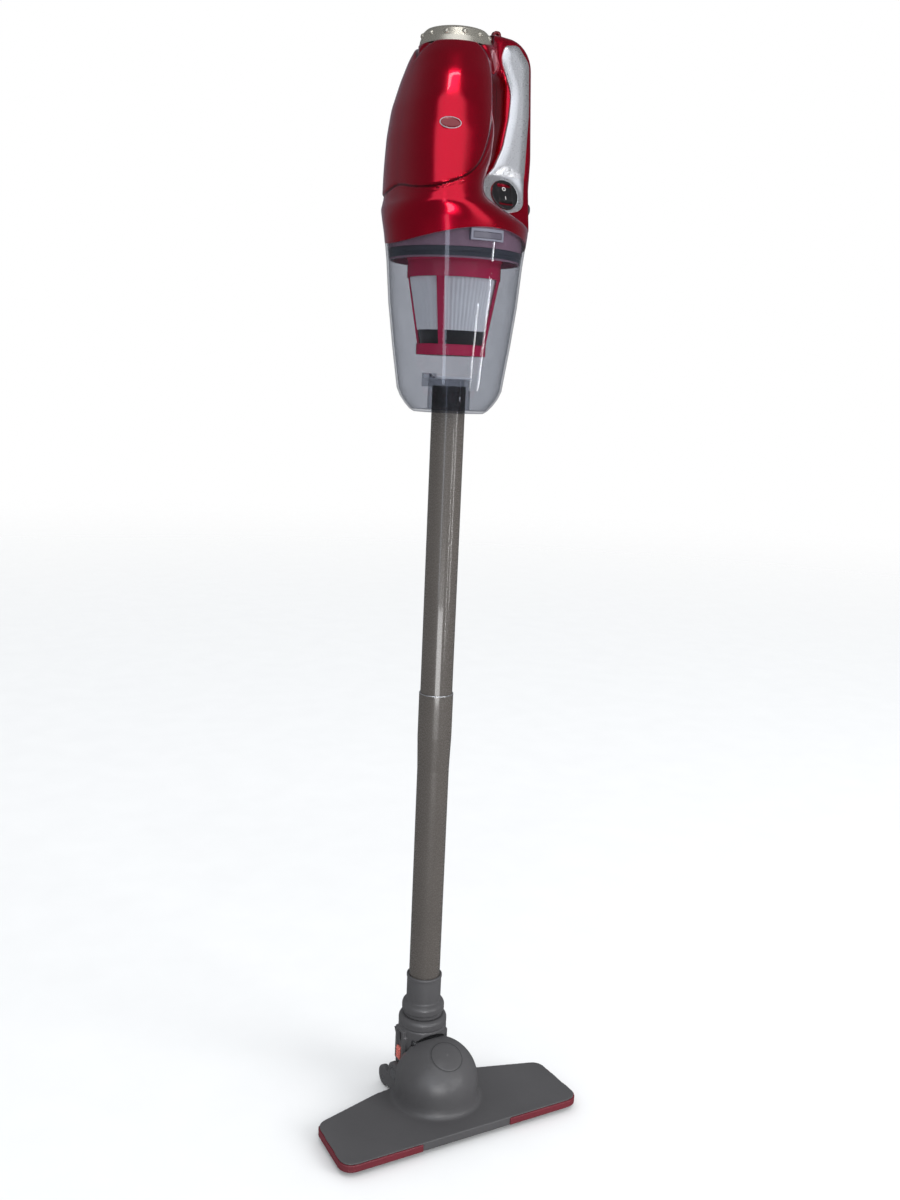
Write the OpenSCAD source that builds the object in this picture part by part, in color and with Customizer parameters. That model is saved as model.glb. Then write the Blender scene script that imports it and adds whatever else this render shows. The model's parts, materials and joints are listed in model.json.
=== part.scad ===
// Upright stick vacuum cleaner: a handheld unit with a clear dust cup on a two-piece wand,
// standing on a floor head with a tilting, swivelling neck.
// Millimetres, +Z up. The origin is on the floor straight below the wand's axis, and the
// floor head's front edge faces -Y.

/* [Wand] */
// Outside diameter of both wand tubes
wand_od = 32.5; // [31:0.5:33]
// Wall of the wand tubes
wand_wall = 1.5; // [1.2:0.1:1.8]
// Height at which the lower tube's socket ends
wand_joint_z = 442; // [380:1:500]
// Depth of the push-fit socket between the tubes
socket_depth = 45; // [35:1:55]

/* [Dust cup] */
// Height of the cup's lower end above the floor
cup_z = 723; // [640:1:800]
// Wall of the clear cup
cup_wall = 2; // [1.6:0.1:2.2]
// Height of the inlet tube inside the cup
inlet_h = 32; // [30:1:34]

/* [Handheld unit] */
// Wall of the red housing shells
shell_wall = 2.5; // [2:0.1:3]
// Width of the handle across its two faces
handle_w = 34; // [32:1:36]
// Distance from the wand axis to the handle's back
handle_back = 70; // [68:1:72]
// Depth of the handle bar, front to back
handle_depth = 30.5; // [29.5:0.5:31.5]
// Radius of the exhaust cap at its foot
cap_r = 34; // [33:0.5:35]
// Radius of the round rocker switch's bezel
switch_r = 14; // [12:0.5:14.5]

/* [Motor and fan] */
// Offset of the motor's axis from the wand axis
motor_x = -22; // [-24:1:-20]
// Radius of the motor can
motor_r = 27; // [24:1:28]
// Radius of the impeller
impeller_r = 36; // [32:1:37]
// Number of impeller blades
blade_count = 9; // [6:1:12]

/* [Floor head] */
// Width of the floor head
head_w = 272; // [250:2:290]
// Distance from the wand axis to the head's front edge
head_front = 104; // [98:1:110]
// Distance from the wand axis to the back corner of each side
head_side = 30; // [26:1:36]
// Height of the head's upper face at its edge
head_top = 14; // [13.5:0.5:16]
// Radius of the dome over the air duct
dome_r = 43.5; // [42:0.5:45]
// Radius of the two rear wheels
wheel_r = 9; // [8:0.5:9.5]

/* [Neck] */
// Height of the tilt pivot
pivot_z = 26; // [25:0.5:27]
// Radius of the yoke's skirt
yoke_r = 25.5; // [25:0.5:26.5]
// Length of the swivel collar that grips the wand
collar_top = 135; // [128:1:145]

/* [Hidden] */
$fn = 64;
eps = 0.01;
// Clearances: between moving faces, in running fits and in push fits
gap = 0.3;
run = 0.05;
push = 0.1;

wand_r = wand_od / 2;
wand_bore = wand_r - wand_wall;
socket_r = wand_r + push;
collar_seat = 108;

// Floor head: plan outline, counter-clockwise from the front left corner
head_bottom = 4.5;
head_skin = 2.5;
head_side_w = head_w / 2 - 3;
shoulder_x = 56;
shoulder_y = -8;
lobe_x = 33.5;
lobe_y = 34;
head_plan = [
    [-head_w / 2, -head_front], [head_w / 2, -head_front], [head_side_w, -head_side],
    [shoulder_x, shoulder_y], [lobe_x, shoulder_y + 3], [lobe_x, lobe_y],
    [-lobe_x, lobe_y], [-lobe_x, shoulder_y + 3], [-shoulder_x, shoulder_y],
    [-head_side_w, -head_side]];
head_round = [13, 13, 14, 20, 4, 5, 5, 4, 20, 14];
dome_y = -36;
dome_z = 31.5;
disc_r = 16.2;
disc_tilt = 28;
bumper_t = 1.6;
bumper_low = 5;
bumper_high = 12.6;
bumper_start = 50;
slot_w = 190;
slot_y = -77;
slot_d = 13;
brush_w = 216;
brush_t = 3.5;
brush_front_y = slot_y - slot_d / 2 - 6;
brush_rear_y = slot_y + slot_d / 2 + 6;
brush_top = 6;
sole_low = 3;
sole_high = 5.5;
sole_screw_at = [[-100, -50], [100, -50], [-45, -30], [45, -30], [-12, 24], [12, 24]];
wheel_y = 23;
wheel_w = 3.8;
wheel_in = 28;
axle_r = 1.5;

// Neck
cheek_in = 26.6;
pin_r = 4;
arm_in = 20.3;
arm_half = 10.5;
drum_half = 19.5;
drum_r = 46;
drum_wall = 2.5;
drum_front = 85;
drum_rear = 36;
yoke_top = 90;
spigot_r = 19;
spigot_low = 78.5;
boss_x = 27.5;
slider_low = 42;
skirt_low = 56;
slider_h = 14;

// Dust cup: outer outline as [radius, height above the cup's lower end]
cup_outline = [[34, 0], [38, 2.5], [43, 8], [47.5, 14.5], [50.8, 22], [56.6, 62], [61.5, 101],
    [64.5, 139], [65.8, 150], [67.6, 165], [68, 169]];
inlet_r = wand_r + 4.25;
flap_pin_x = -(inlet_r + 3);
flap_pin_z = inlet_h + 2.4;
flap_pin_r = 1;
// The cup's rim and the housing's lower edge are the same shallow saddle
rim_saddle_r = 159;
rim_saddle_z = 8.2;
latch_w = 33;
latch_x = -3;
latch_z = 160.8;
latch_h = 10.6;

// Housing: stations as [height, centre x, half-depth, half-width, exponent]
pod_stations = [
    [150, 0, 66, 66, 2], [166, 0, 68, 68, 2], [175, -0.5, 69.5, 68.5, 2],
    [181, -8, 61, 67, 2.15], [188, -19, 48.5, 65.5, 2.35], [195, -25.5, 38.5, 63.7, 2.45],
    [204, -27, 36, 62.8, 2.55], [216, -26, 37, 62, 2.6], [230, -23.5, 39.5, 61.3, 2.6],
    [252, -21.5, 40.5, 60, 2.6], [276, -20.5, 38.5, 56, 2.6], [300, -17, 36, 49, 2.5],
    [318, -14, 34, 41, 2.3], [329, -9, 34, 35.5, 2.1]];
pod_sides = 40;
pod_top = 329;
grip_low = 221;
grip_high = 312;
handle_top = 344.5;
handle_low = 170;
handle_front = handle_back - handle_depth;
cap_x = -8;
cap_low = pod_top + 0.3;
cap_top = 343;
outlet_r = 26;
// The handle's foot flares towards the collar below the bend
bend_z = grip_low;
bend_y = 17.5;
bend = 18;
foot_low = 174;
inlay_t = 2.4;
inlay_proud = 0.8;
switch_x = 37.5;
switch_z = 203;
switch_half = 8.2;
switch_tall = 11.2;
inlay_face = -(handle_w / 2 + inlay_proud);
gland_z = 196;
gland_r = 7;
gland_bore = 3.6;
gland_tip = 78;
screw_at = [[-54, 222], [-51, 274], [56, 183], [50, 328]];
screw_seat = 12;

// Base ring, seals and filter, as radii and heights inside the cup
ring_web = 150;
deck_low = 167;
deck_t = 3;
deck_r = 63.6;
seal_r = 60.5;
filter_r = 50;
filter_low = 54;
filter_neck = 125;
post_count = 4;
post_angle = 10;

// Motor
fan_low = 172;
fan_high = 192;
can_low = 196;
can_high = 252;
shaft_r = 3;
lead_r = 1.2;

// ---- Shared shapes ----

function unit(v) = v / norm(v);
function left_of(v) = [-v[1], v[0]];

// Outline moved inwards by d, for a counter-clockwise outline
function inset(p, d) = [for (i = [0:len(p) - 1])
    let (a = p[(i + len(p) - 1) % len(p)], b = p[i], c = p[(i + 1) % len(p)],
         m = left_of(unit(b - a)), n = left_of(unit(c - b)))
    b + d * (m + n) / (1 + m * n)];

// Arc that rounds the corner q between p and s
function corner(p, q, s, r, steps) =
    let (u = unit(p - q), v = unit(s - q), half = acos(u * v) / 2,
         c = q + unit(u + v) * r / sin(half),
         a = q + u * r / tan(half) - c, b = q + v * r / tan(half) - c,
         turn = a[0] * b[1] - a[1] * b[0] > 0 ? 180 - 2 * half : 2 * half - 180)
    [for (i = [0:steps]) let (t = turn * i / steps)
        c + [a[0] * cos(t) - a[1] * sin(t), a[0] * sin(t) + a[1] * cos(t)]];

// Outline with each corner rounded to its own radius
function rounded(p, radii, steps = 5) = [for (i = [0:len(p) - 1]) each
    corner(p[(i + len(p) - 1) % len(p)], p[i], p[(i + 1) % len(p)], radii[i], steps)];

function power(x, e) = sign(x) * pow(abs(x), e);

// Superellipse section at one station, drawn smaller by d
function section(s, d) = [for (i = [0:pod_sides - 1]) let (t = 360 * i / pod_sides)
    [s[1] + (s[2] - d) * power(cos(t), 2 / s[4]), (s[3] - d) * power(sin(t), 2 / s[4]), s[0]]];

// Closed body through a stack of sections
module loft(stations, d) {
    rings = len(stations);
    m = pod_sides;
    polyhedron(
        points = [for (s = stations) each section(s, d)],
        faces = concat(
            [[for (i = [0:m - 1]) i]],
            [[for (i = [m - 1:-1:0]) (rings - 1) * m + i]],
            [for (k = [0:rings - 2], i = [0:m - 1]) let (j = (i + 1) % m)
                [k * m + i, (k + 1) * m + i, (k + 1) * m + j]],
            [for (k = [0:rings - 2], i = [0:m - 1]) let (j = (i + 1) % m)
                [k * m + i, (k + 1) * m + j, k * m + j]]));
}

// Ring or tube about +Z
module tube(z0, z1, r_out, r_in) {
    translate([0, 0, z0]) difference() {
        cylinder(h = z1 - z0, r = r_out);
        translate([0, 0, -1]) cylinder(h = z1 - z0 + 2, r = r_in);
    }
}

// Cylinder along +X from x0 to x1, centred on [y, z]
module bar_x(x0, x1, r, y, z) {
    translate([x0, y, z]) rotate([0, 90, 0]) cylinder(h = x1 - x0, r = r);
}

// Cylinder along +Y from y0 to y1, centred on [x, z]
module bar_y(y0, y1, r, x, z) {
    translate([x, y0, z]) rotate([-90, 0, 0]) cylinder(h = y1 - y0, r = r);
}

// Box between two corners
module block(a, b) {
    translate(a) cube(b - a);
}

// Outline in the XZ plane, given thickness from y0 to y1
module side_plate(y0, y1) {
    translate([0, y1, 0]) rotate([90, 0, 0]) linear_extrude(y1 - y0) children();
}

// The same thing on both sides of the X = 0 plane
module both_sides() {
    children();
    mirror([1, 0, 0]) children();
}

// Pan-head screw along +Z, its head's underside at z = 0
module screw(length, r, head_r, head_h) {
    translate([0, 0, -length]) cylinder(h = length, r = r);
    difference() {
        cylinder(h = head_h, r = head_r);
        translate([0, 0, head_h / 2]) cube([head_r * 1.3, 0.7, head_h + eps], center = true);
        translate([0, 0, head_h / 2]) cube([0.7, head_r * 1.3, head_h + eps], center = true);
    }
}

// ---- Floor head ----

module plan(d, low, high) {
    radii = [for (r = head_round) max(r - d, 1)];
    translate([0, 0, low]) linear_extrude(high - low) polygon(rounded(inset(head_plan, d), radii));
}

// Dome's outline of revolution, drawn smaller by d
module dome_body(d) {
    translate([0, dome_y, 0]) rotate_extrude() polygon(concat(
        [for (t = [90:-5:0]) [(dome_r - d) * cos(t), dome_z + (dome_r - d) * sin(t)]],
        [[dome_r + 0.4 - d, 23], [dome_r + 1.4 - d, 18], [dome_r + 3.5 - d, head_top],
         [dome_r + 3.5 - d, 5.5], [0, 5.5]]));
}

// Round lobe over each rear wheel and pivot pin, seen from the side
module lobe_outline() {
    translate([0, pivot_z]) circle(12);
    translate([-12, 9]) square([24, pivot_z - 9]);
    translate([wheel_y, wheel_r + 2]) circle(11);
    translate([-12, 9]) square([12 + wheel_y, wheel_r + 2]);
}

module lobe(x0, x1) {
    translate([x0, 0, 0]) rotate([90, 0, 90]) linear_extrude(x1 - x0) lobe_outline();
}

// Space that the neck sweeps as it tilts
module neck_bay() {
    intersection() {
        union() {
            bar_x(-arm_in, arm_in, drum_r + 0.8, 0, pivot_z);
            bar_x(-cheek_in, cheek_in, 39, 0, pivot_z);
            block([-cheek_in, -arm_half - 1.2, 0], [cheek_in, lobe_y + 10, 100]);
        }
        block([-60, -100, head_top - 1.2], [60, 100, 100]);
    }
    block([-boss_x - 2.7, -arm_half, slider_low - 3.2], [boss_x + 2.7, 40, 100]);
    translate([0, 0, skirt_low]) cylinder(h = 40, r = yoke_r + 0.8);
}

module head_shell() {
    color("#585654") difference() {
        union() {
            difference() {
                union() {
                    plan(0, head_bottom, head_top);
                    dome_body(0);
                }
                plan(3, 0, head_top - head_skin);
                dome_body(head_skin);
            }
            intersection() {
                dome_body(0);
                difference() {
                    bar_x(-cheek_in - 2.4, cheek_in + 2.4, drum_r + 3, 0, pivot_z);
                    bar_x(-cheek_in - 3, cheek_in + 3, drum_r + 0.8, 0, pivot_z);
                }
                block([-cheek_in - 3, -60, 12], [cheek_in + 3, 0, 90]);
            }
            difference() {
                intersection() {
                    dome_body(0);
                    tube(skirt_low, 90, yoke_r + 3, yoke_r + 0.8);
                    block([-cheek_in, -60, skirt_low], [cheek_in, 0, 90]);
                }
                bar_x(-cheek_in - 3, cheek_in + 3, drum_r + 0.8, 0, pivot_z);
            }
            both_sides() lobe(cheek_in, lobe_x);
            for (p = sole_screw_at)
                translate([p[0], p[1], sole_high]) cylinder(h = head_top - sole_high - 1, r = 3.5);
        }
        neck_bay();
        difference() {
            plan(-2, bumper_low - gap, bumper_high + gap);
            plan(bumper_t, 0, 30);
            between_bumpers();
        }
        both_sides() {
            bar_x(wheel_in - gap, wheel_in + wheel_w + gap, wheel_r + 1.5, wheel_y, wheel_r);
            block([wheel_in - gap, wheel_y - 6, -1], [wheel_in + wheel_w + gap, wheel_y + 6, 6]);
            bar_x(cheek_in - 1, lobe_x + 1, axle_r, wheel_y, wheel_r);
            bar_x(cheek_in - 1, lobe_x + 1, pin_r, 0, pivot_z);
            bar_x(lobe_x - 1.5, lobe_x + 1, pin_r + 1.5, 0, pivot_z);
        }
        for (p = sole_screw_at) translate([p[0], p[1], 0]) cylinder(h = 12, r = 1.2);
        translate([0, dome_y, dome_z]) rotate([disc_tilt, 0, 0])
            tube(dome_r - 3.9, dome_r + 1, disc_r + 0.4, disc_r - 0.4);
    }
}

// Part of the front edge between the two bumpers, and the back of the head
module between_bumpers() {
    block([-bumper_start, -head_front - 5, 0], [bumper_start, 60, 40]);
    block([-head_w, -head_side - 2, 0], [head_w, 60, 40]);
}

module sole_plate() {
    color("#2e2d2d") difference() {
        plan(3.4, sole_low, sole_high);
        block([-slot_w / 2, slot_y - slot_d / 2, 0], [slot_w / 2, slot_y + slot_d / 2, 9]);
        for (y = [brush_front_y, brush_rear_y])
            block([-brush_w / 2, y - brush_t / 2, 0], [brush_w / 2, y + brush_t / 2, 9]);
        both_sides()
            block([cheek_in - 1, wheel_y - 11.5, 0], [lobe_x, lobe_y, 9]);
        for (p = sole_screw_at) translate([p[0], p[1], 0]) {
            cylinder(h = 9, r = 1.2);
            translate([0, 0, sole_low - 1]) cylinder(h = 2.2, r = 2.8);
        }
    }
}

module bumper() {
    color("#7d2330") intersection() {
        difference() {
            plan(-0.8, bumper_low, bumper_high);
            plan(bumper_t, 0, 30);
            difference() {
                plan(-2, bumper_low + 2.8, bumper_low + 3.8);
                plan(-0.2, 0, 30);
            }
        }
        block([bumper_start + gap, -head_front - 5, 0], [head_w / 2 + 5, -head_side - 2 - gap, 30]);
    }
}

module bumper_right() {
    bumper();
}

module bumper_left() {
    mirror([1, 0, 0]) bumper();
}

module brush(y) {
    color("#1c1b1b")
        block([-brush_w / 2, y - brush_t / 2, 0], [brush_w / 2, y + brush_t / 2, brush_top]);
}

module brush_front() {
    brush(brush_front_y);
}

module brush_rear() {
    brush(brush_rear_y);
}

module sole_screws() {
    color("#9a9a9a") for (p = sole_screw_at)
        translate([p[0], p[1], sole_low + 1.2]) mirror([0, 0, 1]) screw(6, 1.2, 2.7, 1);
}

module wheel_axles() {
    color("#b8b8b8") both_sides() bar_x(cheek_in + 0.1, lobe_x - 0.2, axle_r, wheel_y, wheel_r);
}

module wheel() {
    color("#3a3837") translate([wheel_in, wheel_y, wheel_r]) rotate([0, 90, 0]) rotate_extrude()
        polygon([[axle_r + run, 0], [wheel_r - 3, 0], [wheel_r - 2.5, 0.8], [wheel_r - 1, 0],
            [wheel_r, 1], [wheel_r, wheel_w - 1], [wheel_r - 1, wheel_w],
            [wheel_r - 2.5, wheel_w - 0.8], [wheel_r - 3, wheel_w], [axle_r + run, wheel_w]]);
}

module wheel_right() {
    wheel();
}

module wheel_left() {
    mirror([1, 0, 0]) wheel();
}

module pivot_pins() {
    color("#a8a8a8") both_sides() {
        bar_x(arm_in + 0.4, lobe_x - 1.4, pin_r, 0, pivot_z);
        bar_x(lobe_x - 1.5, lobe_x - 0.3, pin_r + 1.5, 0, pivot_z);
    }
}

// Felt lip that keeps the air from leaking past the drum
module drum_seal() {
    color("#262626") intersection() {
        difference() {
            bar_x(-drum_half, drum_half, drum_r + 0.75, 0, pivot_z);
            bar_x(-cheek_in, cheek_in, drum_r + 0.3, 0, pivot_z);
        }
        block([-drum_half, -33, 50], [drum_half, -29, 75]);
    }
}

// ---- Neck ----

module neck_yoke() {
    color("#5a5856") difference() {
        union() {
            rotate_extrude() polygon([
                [0, skirt_low], [yoke_r, skirt_low], [yoke_r, 78], [yoke_r - 0.8, 78.6],
                [yoke_r - 0.8, 79.4], [yoke_r, 80], [yoke_r, 86], [yoke_r - 1, 88.6],
                [yoke_r - 3, yoke_top], [0, yoke_top]]);
            both_sides() {
                block([arm_in, -arm_half, pivot_z], [yoke_r, arm_half, 70]);
                bar_x(arm_in, yoke_r, arm_half, 0, pivot_z);
            }
            block([-boss_x, -9, slider_low - 2], [-yoke_r + 1, 9, 77]);
        }
        translate([0, 0, spigot_low - 2.2]) cylinder(h = 40, r = spigot_r + run);
        translate([0, 0, 40]) cylinder(h = 60, r = 15.5);
        bar_y(-40, 40, 22, 0, 54);
        both_sides() bar_x(arm_in - 1, yoke_r + 3, pin_r + run, 0, pivot_z);
        block([-arm_in, -40, 0], [arm_in, 40, 54]);
        bar_x(-drum_half - 0.4, drum_half + 0.4, drum_r + 0.2, 0, pivot_z);
        tube(82.9, 86.1, 21, spigot_r);
        block([-boss_x - 1, -4.3, slider_low - 1], [-boss_x + 1.8, 4.3, 74]);
        block([-boss_x, -3, 62], [-10, 3, 72]);
    }
}

// Hollow drum that carries the air duct round the tilt pivot
module neck_drum() {
    color("#1f1e1e") difference() {
        bar_x(-drum_half, drum_half, drum_r, 0, pivot_z);
        bar_x(-drum_half + 2, drum_half - 2, drum_r - drum_wall, 0, pivot_z);
        rotate([0, 90, 0]) translate([-pivot_z, 0, -40]) linear_extrude(80) polygon([
            [0, 0], 90 * [-cos(drum_rear), sin(drum_rear)], [-40, 90], [90, 90], [90, -90],
            [0, -90], 90 * [-cos(drum_front), -sin(drum_front)]]);
        translate([0, 0, 40]) cylinder(h = 60, r = 15);
    }
}

module swivel_clip() {
    color("#c9c9c9") difference() {
        tube(83.2, 85.8, 20.9, 17.9);
        block([16, -3, 80], [30, 3, 90]);
    }
}

module suction_slider() {
    color("#b5303a") {
        block([-boss_x - 0.4, -4, slider_low], [-boss_x + 1.6, 4, slider_low + slider_h]);
        for (k = [0:3]) block([-boss_x - 1.6, -3.4, slider_low + 2 + 3 * k],
                              [-boss_x - 0.4 + eps, 3.4, slider_low + 3.4 + 3 * k]);
    }
}

module swivel_collar() {
    low = yoke_top + 0.3;
    color("#5a5856") rotate_extrude() polygon([
        [wand_bore, spigot_low], [spigot_r, spigot_low], [spigot_r, 82.6], [17.6, 82.6],
        [17.6, 86.4], [spigot_r, 86.4], [spigot_r, low], [20.5, low], [20.5, 94],
        [22.2, 95.2], [22.4, 97], [22.4, 101], [21.6, 103.4], [19.6, 105.2], [18.3, 106],
        [18.1, 108], [18.1, collar_top - 3.6], [18.7, collar_top - 3], [18.7, collar_top - 0.5],
        [18.2, collar_top], [socket_r, collar_top], [socket_r, collar_seat],
        [wand_bore, collar_seat]]);
}

// ---- Wand ----

module wand_lower() {
    flare = 1.1;
    color("#5b534e") rotate_extrude() polygon([
        [wand_bore, collar_seat + 0.2], [wand_r, collar_seat + 0.2],
        [wand_r, wand_joint_z - socket_depth - 35], [wand_r + flare, wand_joint_z - socket_depth],
        [wand_r + flare, wand_joint_z - 0.8], [wand_r + flare - 0.4, wand_joint_z],
        [socket_r, wand_joint_z], [socket_r, wand_joint_z - socket_depth],
        [wand_bore, wand_joint_z - socket_depth - 2]]);
}

module wand_upper() {
    color("#5b534e") tube(wand_joint_z - socket_depth + 0.2, cup_z + 25, wand_r, wand_bore);
}

// ---- Dust cup ----

// Everything from here up is measured from the cup's lower end
module on_cup() {
    translate([0, 0, cup_z]) children();
}

// Solid below the saddle that the rim follows, grown by d
module saddle(d) {
    bar_y(-100, 100, rim_saddle_r + d, 0, rim_saddle_z);
}

// Cup's outline of revolution, drawn smaller by d and started at height low
module cup_body(d, low) {
    rotate_extrude() polygon(concat(
        [[0, low]], [for (p = cup_outline) if (p[1] >= low || p[1] == 0) [p[0] - d, max(p[1], low)]],
        [[0, 169]]));
}

module dust_cup() {
    color([0.55, 0.6, 0.72, 0.4]) on_cup() difference() {
        union() {
            difference() {
                intersection() {
                    cup_body(0, 0);
                    saddle(0);
                }
                difference() {
                    cup_body(cup_wall, 2.5);
                    cylinder(h = inlet_h, r = inlet_r);
                }
            }
            for (s = [-1, 1]) translate([0, s * 7, 0])
                block([flap_pin_x - 2.4, -1.2, inlet_h - 8], [-inlet_r + 2, 1.2, flap_pin_z + 2.2]);
        }
        translate([0, 0, -1]) cylinder(h = 26.2, r = socket_r);
        translate([0, 0, -1]) cylinder(h = inlet_h + 2, r = wand_bore);
        bar_y(-12, 12, flap_pin_r, flap_pin_x, flap_pin_z);
        block([latch_x - latch_w / 2 - gap, -80, latch_z - latch_h / 2 - gap],
            [latch_x + latch_w / 2 + gap, -50, 180]);
    }
}

module flap_pin() {
    color("#c0c0c0") on_cup() bar_y(-8.2, 8.2, flap_pin_r, flap_pin_x, flap_pin_z);
}

module inlet_flap() {
    color([0.75, 0.78, 0.84, 0.6]) on_cup() difference() {
        union() {
            translate([0, 0, inlet_h + 0.3]) cylinder(h = 1.5, r = 22);
            bar_y(-5.4, 5.4, 2, flap_pin_x, flap_pin_z);
            block([flap_pin_x, -5.4, inlet_h + 0.4], [flap_pin_x + 6, 5.4, inlet_h + 1.8]);
        }
        bar_y(-6, 6, flap_pin_r + run, flap_pin_x, flap_pin_z);
        for (s = [-1, 1]) translate([0, s * 7, 0])
            block([-30, -1.6, inlet_h - 2], [-inlet_r + 2.4, 1.6, inlet_h + 4]);
    }
}

// ---- Base ring, seals and filter ----

// Spigot inside the cup's rim, the deck that carries the motor, and the filter's socket
module base_ring() {
    color("#4a1a22") on_cup() {
        difference() {
            rotate_extrude() polygon([
                [seal_r - 2, ring_web - 10], [61.6, ring_web - 10], [61.6, ring_web - 8.5],
                [seal_r, ring_web - 8.5], [seal_r, ring_web], [63.2, ring_web],
                [deck_r, deck_low + deck_t], [0, deck_low + deck_t], [0, deck_low],
                [61.6, deck_low], [61, ring_web + 2], [53, ring_web + 2],
                [53, deck_low - 3], [filter_r + gap, deck_low - 3], [filter_r + gap, ring_web],
                [seal_r - 2, ring_web]]);
            translate([motor_x, 0, deck_low - 1]) cylinder(h = 6, r = 15);
            block([latch_x - latch_w / 2 + 1, -80, latch_z - latch_h / 2 + 1],
                  [latch_x + latch_w / 2 - 1, -55, latch_z + latch_h / 2 - 1]);
        }
    }
}

module cup_seal() {
    color("#2b2f38") on_cup() rotate_extrude() polygon([
        [seal_r, ring_web - 8.4], [61.9, ring_web - 8.4], [62.2, ring_web - 6],
        [61.6, ring_web - 5], [62.4, ring_web - 3.6], [62.8, ring_web - 1.6], [62.4, ring_web - 0.1],
        [seal_r, ring_web - 0.1]]);
}

// Radius of the filter's cone at height z
function cone_r(z) = 32.5 + 11 * (z - filter_low - 10) / (filter_neck - filter_low - 10);

module filter_frame() {
    color("#9c1f38") on_cup() {
        rotate_extrude() polygon([
            [42, filter_neck], [44.5, filter_neck], [44.5, 140], [46, 141.5], [46, 152],
            [filter_r, 154], [filter_r, 162], [44, 162], [44, 153], [43.5, 152], [42, 141]]);
        rotate_extrude() polygon([[0, filter_low], [33.5, filter_low], [33.5, filter_low + 10],
            [31, filter_low + 10], [31, filter_low + 2], [0, filter_low + 2]]);
        for (k = [0:post_count - 1]) rotate([0, 0, 360 * (k + 0.5) / post_count - post_angle / 2])
            rotate_extrude(angle = post_angle) polygon([
                [cone_r(filter_low + 10) - 1.3, filter_low + 10 - eps], [33.5, filter_low + 10 - eps],
                [44.4, filter_neck + eps], [cone_r(filter_neck) - 0.2, filter_neck + eps]]);
    }
}

module sleeve(low, high, d, t) {
    rotate_extrude() polygon([[cone_r(low) - d - t, low], [cone_r(low) - d, low],
        [cone_r(high) - d, high], [cone_r(high) - d - t, high]]);
}

module filter_cloth() {
    color("#d8d6d0") on_cup() sleeve(77, filter_neck - 0.1, 1.5, 1.2);
}

module filter_core() {
    color("#3a3d44") on_cup() sleeve(filter_low + 2.1, filter_neck - 0.1, 3, 1.2);
}

module filter_seal() {
    color("#2b2b2b") on_cup() tube(162.1, deck_low - 3.2, filter_r, 44);
}

// ---- Housing ----

// Side outline of the handle loop and of the body's base below it
module handle_side(d) {
    polygon(rounded(inset([[-25, handle_low], [handle_back - 1, handle_low],
        [handle_back + 1, 240], [handle_back - 5, handle_top], [22, handle_top],
        [-25, pod_top - 6]], d), [2, 4, 120, 27, 30, 4], 8));
}

module grip_side(d) {
    polygon(rounded(inset([[-40, grip_low], [22, grip_low], [handle_front - 5.5, grip_low + 19],
        [handle_front, grip_low + 51], [handle_front, grip_high], [-40, grip_high]], -d),
        [1, 14 + d, 30 + d, 40 + d, 12 + d, 1], 6));
}

module handle_body(half, d) {
    side_plate(-half, half) difference() {
        handle_side(d);
        grip_side(d);
    }
}

// Things drawn below the bend on the handle's upright side, tilted onto the foot's flank
module on_flank() {
    translate([0, -bend_y, bend_z]) rotate([-bend, 0, 0]) translate([0, bend_y, -bend_z]) children();
}

// Flared foot of the handle, drawn smaller by d
module handle_foot(d) {
    top = handle_w / 2 - d;
    low = top + (bend_z - foot_low) * tan(bend);
    difference() {
        intersection() {
            rotate([90, 0, 90]) linear_extrude(handle_back) polygon([
                [-low, foot_low - d], [low, foot_low - d], [top, bend_z], [-top, bend_z]]);
            translate([0, 0, foot_low - 5]) cylinder(h = 60, r = handle_back - 0.5 - d);
        }
        side_plate(-50, 50) grip_side(d);
    }
}

module housing_outer() {
    loft(pod_stations, 0);
    handle_foot(0);
    difference() {
        union() {
            handle_body(handle_w / 2 - 3, 0);
            handle_body(handle_w / 2 - 1, 1);
            handle_body(handle_w / 2, 2.6);
        }
        translate([cap_x, 0, pod_top]) cylinder(h = 20, r = cap_r + 1);
    }
}

module housing_cavity() {
    difference() {
        loft([for (s = pod_stations) [s[0] == pod_top ? pod_top - shell_wall : s[0],
              s[1], s[2], s[3], s[4]]], shell_wall);
        translate([0, 0, pod_top - shell_wall]) cylinder(h = 20, r = 100);
    }
    handle_body(handle_w / 2 - shell_wall - 1, shell_wall + 0.5);
    handle_foot(shell_wall + 0.5);
}

module housing() {
    on_cup() difference() {
        union() {
            difference() {
                housing_outer();
                housing_cavity();
            }
            intersection() {
                housing_outer();
                for (p = screw_at) bar_y(-62, 62, 4.2, p[0], p[1]);
            }
        }
        saddle(gap);
        translate([0, 0, 140]) cylinder(h = deck_low + deck_t + 0.2 - 140, r = deck_r + 0.4);
        for (p = screw_at) {
            bar_y(-10.5, screw_seat + 1, 1.4, p[0], p[1]);
            bar_y(screw_seat, 70, 3.2, p[0], p[1]);
        }
        translate([cap_x, 0, pod_top - 10]) cylinder(h = 30, r = outlet_r);
        on_flank() block([switch_x - switch_half - gap, -40, switch_z - switch_tall - gap],
            [switch_x + switch_half + gap, 0, switch_z + switch_tall + gap]);
        bar_x(handle_back - 8, handle_back + 5, gland_r - 1.5, 0, gland_z);
        inlay_shape(-40, inlay_face + inlay_t, -0.15);
        mirror([0, 1, 0]) inlay_shape(-40, inlay_face + inlay_t, -0.15);
        badge_plate(push);
    }
}

module housing_front() {
    color("#a31321") intersection() {
        housing();
        block([-120, -100, cup_z], [120, 0, cup_z + 400]);
    }
}

module housing_rear() {
    color("#a31321") intersection() {
        housing();
        block([-120, 0, cup_z], [120, 100, cup_z + 400]);
    }
}

module housing_screws() {
    color("#a0a0a0") on_cup() for (p = screw_at)
        translate([p[0], screw_seat, p[1]]) rotate([-90, 0, 0]) screw(22, 1.4, 2.9, 2);
}

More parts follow.
